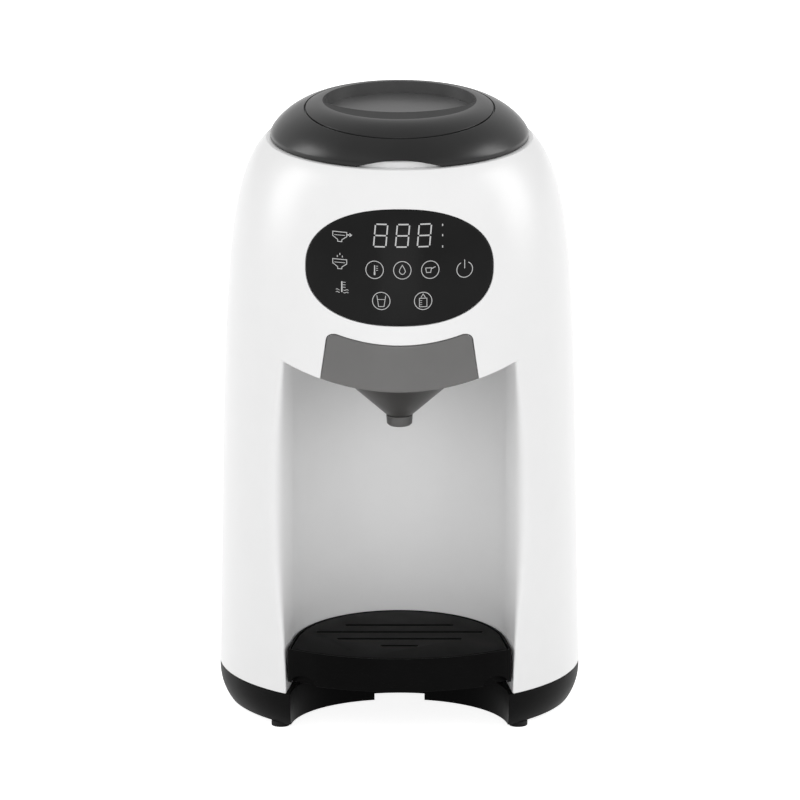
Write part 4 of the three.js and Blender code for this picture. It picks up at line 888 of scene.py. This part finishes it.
def make_base():
    hollow = cut(
        base_solid(BASE_WALL, FOOT_HEIGHT, DECK_FOOT),
        drill(RECESS_RADIUS + BASE_WALL, -OVERRUN, BASE_TOP + OVERRUN, 0, RECESS_CENTRE_Y),
        inlet_box(BASE_WALL),
        *(drill(FOOT_BOSS_RADIUS, 0, BASE_TOP, x, y) for x, y in FEET.values()),
        *(drill(SCREW_BOSS_RADIUS, 0, BASE_TOP, x, y) for x, y in SCREWS),
    )
    recess_plan = circle(RECESS_RADIUS, 0, RECESS_CENTRE_Y, FINE_SEGMENTS)
    recess_rear = RECESS_CENTRE_Y + RECESS_RADIUS
    notch = block(
        "notch", -NOTCH_HALF_WIDTH, NOTCH_HALF_WIDTH,
        recess_rear - OVERRUN, recess_rear + BASE_WALL + OVERRUN,
        FOOT_HEIGHT - OVERRUN, FOOT_HEIGHT + NOTCH_HEIGHT,
    )
    socket_radius = VALVE_RADIUS + COUPLING_WALL + 2 * GAP
    return cut(
        base_solid(0, FOOT_HEIGHT, BASE_TOP),
        prism("recess", recess_plan, -OVERRUN, BASE_TOP + OVERRUN),
        hollow,
        notch,
        inlet_box(GAP),
        inlet_box(GAP, INLET_SETBACK + OVERRUN),
        drill(socket_radius, DECK_FOOT - OVERRUN, BASE_TOP + OVERRUN, COUPLING_X, COUPLING_Y),
        *(drill(SCREW_HOLE_RADIUS, 0, FOOT_HEIGHT + SCREW_HOLE_DEPTH, x, y) for x, y in SCREWS),
    )


dress(
    make_base(), "base_skirt", "machine", FINISH["black"],
    ["base_left", "base_right", "base_deck"],
)
for name, (x, y) in FEET.items():
    profile = [
        (0, 0, 0),
        (FOOT_RADIUS, 0, FOOT_ROUND),
        (FOOT_RADIUS, FOOT_HEIGHT - GAP, FOOT_TOP_ROUND),
        (0, FOOT_HEIGHT - GAP, 0),
    ]
    dress(
        turned("foot", profile, x, y, FOOT_SEGMENTS),
        name + "_pad", "machine", FINISH["rubber"], [name],
    )


# Funnel and spout tip
def make_funnel():
    inner = FUNNEL_RADIUS - FUNNEL_WALL
    flange = cut(
        prism("flange", pocket_plan(FLANGE_HALF_WIDTH), FUNNEL_TOP - FLANGE_THICKNESS, FUNNEL_TOP),
        drill(inner, FUNNEL_TOP - OVERRUN, FUNNEL_TOP + OVERRUN, 0, FUNNEL_Y),
    )
    seated = common(flange, body_solid(PLATE_THICKNESS - PLATE_LAP, HOUSING_FOOT, SHELF_HEIGHT))
    seat = FUNNEL_TOP - FLANGE_THICKNESS / 2
    bowl = turned("bowl", [
        (BORE_RADIUS, NECK_FOOT, 0),
        (NECK_RADIUS, NECK_FOOT, 0),
        (NECK_RADIUS, CONE_FOOT, 0),
        (SPOUT_RADIUS, CONE_FOOT, CONE_FOOT_ROUND),
        (FUNNEL_RADIUS, CONE_TOP, CONE_TOP_ROUND),
        (FUNNEL_RADIUS, seat, 0),
        (inner, seat, 0),
        (inner, CONE_TOP + FUNNEL_WALL / 2, BOWL_ROUND),
        (BORE_RADIUS, CONE_FOOT + FUNNEL_WALL / 2, OUTLET_ROUND),
    ], 0, FUNNEL_Y)
    return join(seated, bowl)


def make_funnel_plate():
    middle = (CONE_TOP + PLATE_TOP_HEIGHT) / 2
    return skin_patch("plate", plate_outline(0), (0, middle), PLATE_THICKNESS, PLATE_ROUND)


def make_spout():
    return turned("tip", [
        (NECK_RADIUS + GAP, SPOUT_FOOT, SPOUT_BORE_ROUND),
        (SPOUT_TIP_RADIUS - SPOUT_EDGE, SPOUT_FOOT, SPOUT_FACE_ROUND),
        (SPOUT_TIP_RADIUS, SPOUT_FOOT + SPOUT_EDGE, SPOUT_EDGE_ROUND),
        (SPOUT_RADIUS, CONE_FOOT - GAP, SPOUT_TOP_ROUND),
        (NECK_RADIUS + GAP, CONE_FOOT - GAP, 0),
    ], 0, FUNNEL_Y, SPOUT_SEGMENTS)


# The funnel body takes the darker smoked copy, painted shade; the front plate keeps the plain smoked
# plastic.
dress(make_funnel(), "funnel_body", "funnel", FINISH["smoke_painted_shade"], ["funnel"])
dress(make_funnel_plate(), "funnel_front", "funnel", FINISH["smoke"], ["funnel_plate"])
dress(make_spout(), "spout_sleeve", "funnel", FINISH["spout"], ["spout_tip"])


# Drip tray and grate
def tray_plan(inset, steps=64):
    front = TRAY_FRONT - inset
    reach = math.asin((BAY_CORNER_HALF_WIDTH - TRAY_CLEARANCE - inset) / front)
    angles = np.linspace(-reach, reach, steps + 1)
    front_arc = [(front * math.sin(a), -front * math.cos(a), 0) for a in angles]
    for end in (0, -1):
        front_arc[end] = (*front_arc[end][:2], TRAY_CORNER)
    back_arc = [(x, y, 0) for x, y in bay_arc(-TRAY_CLEARANCE - inset, steps)]
    return rounded(front_arc + back_arc)


def make_tray_notch(side):
    outline = ellipse(
        TRAY_NOTCH_HALF_WIDTH, TRAY_NOTCH_HEIGHT, side * TRAY_NOTCH_X, TRAY_FOOT, TRAY_NOTCH_SEGMENTS)
    core_plan = circle(TRAY_FRONT - TRAY_NOTCH_DEPTH, segments=FINE_SEGMENTS)
    return cut(
        prism("tray_notch", outline, -TRAY_FRONT - OVERRUN, BAY_CENTRE_Y, along="y"),
        prism("core", core_plan, HOUSING_FOOT, TRAY_TOP),
    )


def make_tray():
    heel_front = BAY_REAR - HEEL_DEPTH
    heel = common(
        prism("heel", tray_plan(0), HOUSING_FOOT, TRAY_FOOT + TRAY_FLOOR / 2),
        block(
            "heel_part", -BODY_RADIUS, BODY_RADIUS, heel_front, BAY_REAR,
            HOUSING_FOOT - OVERRUN, TRAY_TOP,
        ),
    )
    over = TRAY_TOP + OVERRUN
    return cut(
        join(prism("tray", tray_plan(0), TRAY_FOOT, TRAY_TOP, TRAY_ROUND), heel),
        prism("seat", tray_plan(TRAY_RIM), GRATE_FOOT - GAP, over),
        prism("well", tray_plan(TRAY_RIM + TRAY_LEDGE), TRAY_FOOT + TRAY_FLOOR, over),
        *(make_tray_notch(side) for side in (-1, 1)),
    )


def make_grate():
    plate = prism("grate", tray_plan(TRAY_RIM + GRATE_CLEARANCE), GRATE_FOOT, TRAY_TOP, GRATE_ROUND)
    half_width = SLOT_WIDTH / 2
    slots = []
    for i, half in enumerate(SLOT_HALF_LENGTHS):
        y = FIRST_SLOT_Y - i * SLOT_PITCH
        outline = rounded([
            (-half, y - half_width, half_width),
            (half, y - half_width, half_width),
            (half, y + half_width, half_width),
            (-half, y + half_width, half_width),
        ])
        slots.append(prism("slot", outline, GRATE_FOOT - OVERRUN, TRAY_TOP + OVERRUN))
    return cut(plate, *slots)


dress(make_tray(), "tray_body", "tray", FINISH["tray"], ["drip_tray"])
dress(make_grate(), "grate_plate", "grate", FINISH["tray"], ["tray_grate"])


# Lid
def lid_dome(drop, steps=48):
    profile = []
    for share in np.linspace(0, 1, steps + 1) ** LID_DOME_SPACING_POWER:
        rise = (1 - (1 - share) ** LID_DOME_POWER) ** LID_DOME_ROUND_POWER
        radius = LID_RADIUS - (LID_RADIUS - LID_DISH_RADIUS) * share
        profile.append((radius, LID_FOOT + LID_RIM - drop + (LID_TOP - LID_FOOT - LID_RIM) * rise, 0))
    return profile


def make_lid_groove():
    inner = LID_GROOVE_RADIUS - LID_GROOVE / 2
    outer = LID_GROOVE_RADIUS + LID_GROOVE / 2
    return cut(
        turned("groove", [
            (inner, LID_FOOT, 0),
            (outer, LID_FOOT, 0),
            (outer, LID_TOP + OVERRUN, 0),
            (inner, LID_TOP + OVERRUN, 0),
        ], 0, -LID_GROOVE_SHIFT, FINE_SEGMENTS),
        turned("lowered", [
            (0, LID_FOOT - OVERRUN, 0),
            (LID_RADIUS, LID_FOOT - OVERRUN, 0),
            *lid_dome(LID_GROOVE),
            (0, LID_TOP - LID_GROOVE, 0),
        ], segments=FINE_SEGMENTS),
    )


def make_lid():
    inner = LID_RADIUS - LID_SKIRT
    ceiling = COLLAR_TOP + GAP
    floor_height = LID_TOP - LID_DISH_DEPTH
    shell = turned("lid", [
        (0, floor_height - LID_WALL, 0),
        (LID_DISH_RADIUS - LID_WALL, floor_height - LID_WALL, LID_WALL_ROUND),
        (LID_SHOULDER_RADIUS - LID_WALL, ceiling, 0),
        (inner, ceiling, 0),
        (inner, LID_FOOT, LID_SKIRT_ROUND),
        (LID_RADIUS, LID_FOOT, LID_RIM_ROUND),
        *lid_dome(0),
        (0, LID_TOP, 0),
    ], segments=FINE_SEGMENTS)
    dish_top = LID_TOP + OVERRUN
    dish = common(
        drill(LID_DISH_RADIUS - LID_LIP, floor_height, dish_top),
        drill(
            LID_DISH_FRONT_RADIUS, floor_height - OVERRUN, dish_top + OVERRUN, 0, LID_DISH_FRONT_SHIFT),
    )
    radius = (LID_NOTCH_HALF_WIDTH ** 2 + LID_NOTCH_RISE ** 2) / (2 * LID_NOTCH_RISE)
    notch_plan = circle(radius, 0, LID_FOOT + LID_NOTCH_RISE - radius, LID_NOTCH_SEGMENTS)
    notch = prism(
        "notch", notch_plan, -LID_RADIUS - OVERRUN, LID_NOTCH_DEPTH - LID_RADIUS, along="y")
    return cut(shell, dish, notch, make_lid_groove())


def paint_lid_light(cover):
    """Paint light on the lid: the dish gets a lighter charcoal copy, a painted sheen, and the level top
    in front of it another lighter copy, painted light.
    """
    cover.data.materials.append(FINISH["dish"])
    cover.data.materials.append(FINISH["painted_top_light"])
    for polygon in cover.data.polygons:
        x, y, z = polygon.center / MM
        depth = LID_TOP - z
        outside = math.hypot(x, y - AXIS_Y) > LID_DISH_RADIUS
        if outside or depth > LID_DISH_DEPTH + LID_FLOOR_BAND:
            continue
        # Dish floor and wall: the lighter charcoal copy, a painted sheen.
        if depth > LID_FLOOR_BAND:
            polygon.material_index = 1
        # Level top in front of the dish: the second lighter charcoal copy, painted light.
        elif polygon.normal.z > LID_LEVEL_NORMAL:
            polygon.material_index = 2


paint_lid_light(dress(
    make_lid(), "lid_cover", "lid", FINISH["charcoal"], ["lid"], LID_SHARP_ANGLE))


# Water tank and its lid
def make_tank():
    floor_top = HOUSING_FOOT + TANK_FLOOR
    inside = cut(
        body_solid(TANK_WALL, floor_top, TANK_TOP + OVERRUN, TANK_INSIDE_SEGMENTS, TANK_INSIDE_RINGS),
        in_front(TANK_FRONT + TANK_WALL),
    )
    lugs = []
    for side in (-1, 1):
        x = side * (KNUCKLE_X + KNUCKLE_LENGTH / 2 + GAP + LUG_LENGTH / 2)
        lugs.append(block(
            "lug", x - LUG_LENGTH / 2, x + LUG_LENGTH / 2, TANK_FRONT, HINGE_Y + KNUCKLE_RADIUS,
            TANK_TOP - TANK_WALL, HINGE_HEIGHT + KNUCKLE_RADIUS,
        ))
    outside = body_solid(0, HOUSING_FOOT, TANK_TOP, rings=TANK_RINGS)
    return cut(
        join(cut(outside, in_front(TANK_FRONT), inside), *lugs),
        drill(VALVE_RADIUS + GAP, HOUSING_FOOT - OVERRUN, floor_top + OVERRUN, COUPLING_X, COUPLING_Y),
    )


def make_tank_lid():
    foot = TANK_TOP + GAP
    top = foot + TANK_LID_THICKNESS
    front = HINGE_Y + KNUCKLE_RADIUS + TANK_LID_SETBACK
    outline = [(x, y) for x, y, _ in body_ring(TANK_TOP, 0, SKIN_SEGMENTS)]
    plate = cut(prism("tank_lid", outline, foot, top, TANK_LID_ROUND), in_front(front))
    barrel_plan = circle(KNUCKLE_RADIUS, HINGE_Y, HINGE_HEIGHT, KNUCKLE_SEGMENTS)
    knuckles = []
    for side in (-1, 1):
        x0 = side * KNUCKLE_X - KNUCKLE_LENGTH / 2
        x1 = x0 + KNUCKLE_LENGTH
        knuckles.append(prism("knuckle", barrel_plan, x0, x1, along="x"))
        knuckles.append(block("leaf", x0, x1, HINGE_Y, front + LEAF_LAP, foot, top))
    return join(plate, *knuckles)


dress(
    make_tank(), "tank_shell", "tank", FINISH["tank"],
    ["water_tank", "tank_front", "tank_floor"],
)
dress(make_tank_lid(), "tank_cover", "tank_lid", FINISH["black"], ["tank_lid"])


# Marks on the panel, laid out in the plane of x and z
MARK_LIFT = 0.05
LONGEST_STRETCH = 1.5
LEAST_TURN = 0.2
LEAST_STROKE_MITRE = 0.6
LINE = 0.34
BOLD_LINE = 0.5
STEM_LINE = 0.62
HANDLE_LINE = 0.36
SIGN_LINE = 0.32
VESSEL_LINE = 0.3
THIN_LINE = 0.26
TICK_LINE = 0.24
FINE_TICK_LINE = 0.22
BULB_RADIUS = 0.75
FALLING_DROP_RADIUS = 0.42
KEY_RADIUS = 4.18
THERMOMETER_KEY = (-11.9, 233.05)
DROP_KEY = (1.35, 233.05)
SCOOP_KEY = (14.7, 233.0)
CUP_KEY = (-8.7, 218.2)
FLASK_KEY = (11.3, 218.15)
POWER_KEY = (31.15, 231.9)
POWER_RADIUS = 3.75
POWER_GAP_ANGLE = 28
FUNNEL_OUT_SIGN = (-31.9, 249.9)
FUNNEL_FILL_SIGN = (-31.9, 237.0)
WARMING_SIGN = (-27.55, 221.4)
UNIT_DOT_X = 20.6
UNIT_DOT_HEIGHTS = (253.8, 249.0, 243.7)
UNIT_DOT_RADIUS = 0.5
DIGIT_X = -12.4
DIGIT_FOOT = 244.1
DIGIT_PITCH = 10.46
DIGIT_COUNT = 3
DIGIT_WIDTH = 5.85
DIGIT_HEIGHT = 10.5
DIGIT_SLANT = 0.089
DIGIT_LINE = 0.65
DIGIT_NICK = 0.45


def stroke(points, width, closed=False):
    """Ribbon along a line in the plane of the panel, laid on the lens."""
    p = np.asarray(points, float)
    if closed:
        p = np.vstack((p, p[:1]))
    fine = [p[0]]
    for a, b in zip(p[:-1], p[1:]):
        pieces = max(1, math.ceil(np.hypot(*(b - a)) / LONGEST_STRETCH))
        fine += [a + (b - a) * k / pieces for k in range(1, pieces + 1)]
    p = np.array(fine)
    ahead = np.diff(p, axis=0)
    ahead /= np.hypot(*ahead.T)[:, None]
    before = np.vstack((ahead[-1:] if closed else ahead[:1], ahead))
    after = np.vstack((ahead, ahead[:1] if closed else ahead[-1:]))
    middle = before + after
    middle /= np.maximum(np.hypot(*middle.T), LEAST_TURN)[:, None]
    normal = np.stack((-middle[:, 1], middle[:, 0]), 1)
    stretch = 1 / np.clip(np.sum(middle * after, 1), LEAST_STROKE_MITRE, 1)
    offset = normal * (width / 2 * stretch)[:, None]
    edges = [side for pair in zip(p + offset, p - offset) for side in pair]
    faces = [(2 * i, 2 * i + 1, 2 * i + 3, 2 * i + 2) for i in range(len(p) - 1)]
    return [(x, skin_y(x, z) - MARK_LIFT, z) for x, z in edges], faces


def marks(name, strokes, finish):
    points, faces = [], []
    for some, more in strokes:
        start = len(points)
        points += some
        faces += [tuple(start + i for i in face) for face in more]
    dress(solid(name, points, faces), name, "machine", finish)


def line_at(place, points, width, closed=False):
    """Stroke through points that are given from a place."""
    return stroke([(place[0] + u, place[1] + v) for u, v in points], width, closed)


def ring(place, radius, width, start=0.0, end=360.0, steps=64):
    angles = np.radians(np.linspace(start, end, steps + 1))
    points = [(radius * math.sin(a), radius * math.cos(a)) for a in angles]
    if end - start == 360:
        return line_at(place, points[:-1], width, closed=True)
    return line_at(place, points, width)


def dot(x, z, radius):
    return stroke([(x - radius / 2, z), (x + radius / 2, z)], 2 * radius)


def ticks(place, left, right, heights, width):
    return [line_at(place, [(left, v), (right, v)], width) for v in heights]


def digit(x, z):
    """Seven segments of one digit, lower left corner at x, z."""
    half = DIGIT_HEIGHT / 2
    far = DIGIT_WIDTH - DIGIT_NICK
    segments = [((DIGIT_NICK, v), (far, v)) for v in (0, half, DIGIT_HEIGHT)]
    segments += [
        ((u, v + DIGIT_NICK), (u, v + half - DIGIT_NICK)) for u in (0, DIGIT_WIDTH) for v in (0, half)
    ]
    return [
        stroke([(x + u + DIGIT_SLANT * v, z + v) for u, v in ends], DIGIT_LINE) for ends in segments
    ]


def power_sign(place):
    return [
        ring(place, POWER_RADIUS, LINE, POWER_GAP_ANGLE, 360 - POWER_GAP_ANGLE),
        line_at(place, [(0, 0.5), (0, 4.7)], LINE),
    ]


def thermometer_sign(place):
    return [
        line_at(place, [(0, -1.9), (0, 2.2)], BOLD_LINE),
        dot(place[0], place[1] - 1.7, BULB_RADIUS),
        *ticks(place, 0.7, 1.6, (-0.2, 0.8, 1.8), TICK_LINE),
    ]


def drop_sign(place):
    right = [(1.2, 0.4), (1.45, -0.7), (0.8, -1.7)]
    left = [(-u, v) for u, v in reversed(right)]
    return [line_at(place, [(0, 2.4), *right, (0, -2.0), *left], SIGN_LINE, closed=True)]


def scoop_sign(place):
    return [
        line_at(place, [(-2.2, 0.9), (-1.8, -1.3), (0.2, -1.3), (0.6, 0.9)], SIGN_LINE, closed=True),
        line_at(place, [(0.5, 0.4), (2.5, 1.4)], HANDLE_LINE),
    ]


def cup_sign(place):
    return [
        line_at(place, [(-2.1, 2.6), (-1.3, -2.7), (1.3, -2.7), (2.1, 2.6)], VESSEL_LINE),
        line_at(place, [(-1.8, 0.7), (1.8, 0.7)], THIN_LINE),
    ]


def flask_sign(place):
    body = [(-1.8, 1.3), (-1.8, -2.8), (1.8, -2.8), (1.8, 1.3)]
    return [
        line_at(place, body, VESSEL_LINE, closed=True),
        line_at(place, [(-1.1, 1.6), (0, 3.4), (1.1, 1.6)], VESSEL_LINE),
        *ticks(place, -1.5, -0.5, (-1.8, -0.8, 0.2), FINE_TICK_LINE),
    ]


def funnel_sign(place, width=6.7, neck=2.0, rim=2.0, mouth=3.6, foot=4.5, inset=0.8, level=1.5):
    """A funnel seen from the side, hung from its upper left corner."""
    left, right = (width - neck) / 2, (width + neck) / 2
    outline = [
        (0, 0), (width, 0), (width, -rim), (right, -mouth), (right, -foot),
        (left, -foot), (left, -mouth), (0, -rim),
    ]
    return [
        line_at(place, outline, LINE, closed=True),
        line_at(place, [(inset, -level), (width - inset, -level)], THIN_LINE),
    ]


def arrow_sign(place):
    """An arrow to the right, beside a funnel sign."""
    return [
        line_at(place, [(6.9, -1.1), (8.0, -1.1)], BOLD_LINE),
        line_at(place, [(8.0, -0.4), (8.9, -1.1), (8.0, -1.8)], BOLD_LINE),
    ]


def falling_drops(place):
    """Three drops over a funnel sign."""
    x, z = place
    middles = ((2.2, 1.4), (3.4, 2.5), (4.6, 1.4))
    return [dot(x + u, z + v, FALLING_DROP_RADIUS) for u, v in middles]


def wave(place, steps, start=-2.85, pitch=0.6, height=0.28, turn=1.6):
    points = [(start + pitch * k, height * math.sin(turn * k)) for k in steps]
    return line_at(place, points, THIN_LINE)


def warming_sign(place):
    """A thermometer that stands in two rows of waves."""
    x, z = place
    return [
        line_at(place, [(0, 0), (0, 5.2)], STEM_LINE),
        *ticks(place, 0.45, 1.75, (2.4, 3.6, 4.8), THIN_LINE),
        *(wave((x, z + v), steps) for v in (-0.1, 1.1) for steps in (range(4), range(6, 11))),
    ]


keys = (THERMOMETER_KEY, DROP_KEY, SCOOP_KEY, CUP_KEY, FLASK_KEY)
printed = [
    *(ring(place, KEY_RADIUS, LINE) for place in keys),
    *power_sign(POWER_KEY),
    *thermometer_sign(THERMOMETER_KEY),
    *drop_sign(DROP_KEY),
    *scoop_sign(SCOOP_KEY),
    *cup_sign(CUP_KEY),
    *flask_sign(FLASK_KEY),
    *funnel_sign(FUNNEL_OUT_SIGN),
    *arrow_sign(FUNNEL_OUT_SIGN),
    *funnel_sign(FUNNEL_FILL_SIGN),
    *falling_drops(FUNNEL_FILL_SIGN),
    *warming_sign(WARMING_SIGN),
    *(dot(UNIT_DOT_X, z, UNIT_DOT_RADIUS) for z in UNIT_DOT_HEIGHTS),
]
digits = [s for k in range(DIGIT_COUNT) for s in digit(DIGIT_X + DIGIT_PITCH * k, DIGIT_FOOT)]
marks("panel_marks", printed, FINISH["print"])
marks("panel_digits", digits, FINISH["print"])

# Finishes of the parts that keep their own shape
KEPT = {
    "black": ["digit_display", "water_pump", "funnel_switch", "mains_inlet"],
    "board": ["display_board", "main_board", "power_board"],
    "clear": ["canister", "canister_floor", "canister_rim", "flow_meter"],
    "grey": [
        "dosing_wheel", "leveller", "stirrer", "drive_deck", "powder_chute", "water_nozzle",
        "tank_coupling", "boiler_bracket",
    ],
    "silicone": [
        "lid_seal", "drive_gear", "tank_valve", "suction_hose", "pressure_hose", "hot_water_hose",
    ],
    "brass": ["motor_pinion", "temperature_sensor"],
    "steel": [
        "powder_motor", "tank_lid_pin", "boiler",
        *(f"base_screw_{end}_{side}" for end in ("front", "rear") for side in ("left", "right")),
    ],
}
for finish, names in KEPT.items():
    for name in names:
        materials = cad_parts[name].data.materials
        materials.clear()
        materials.append(FINISH[finish])
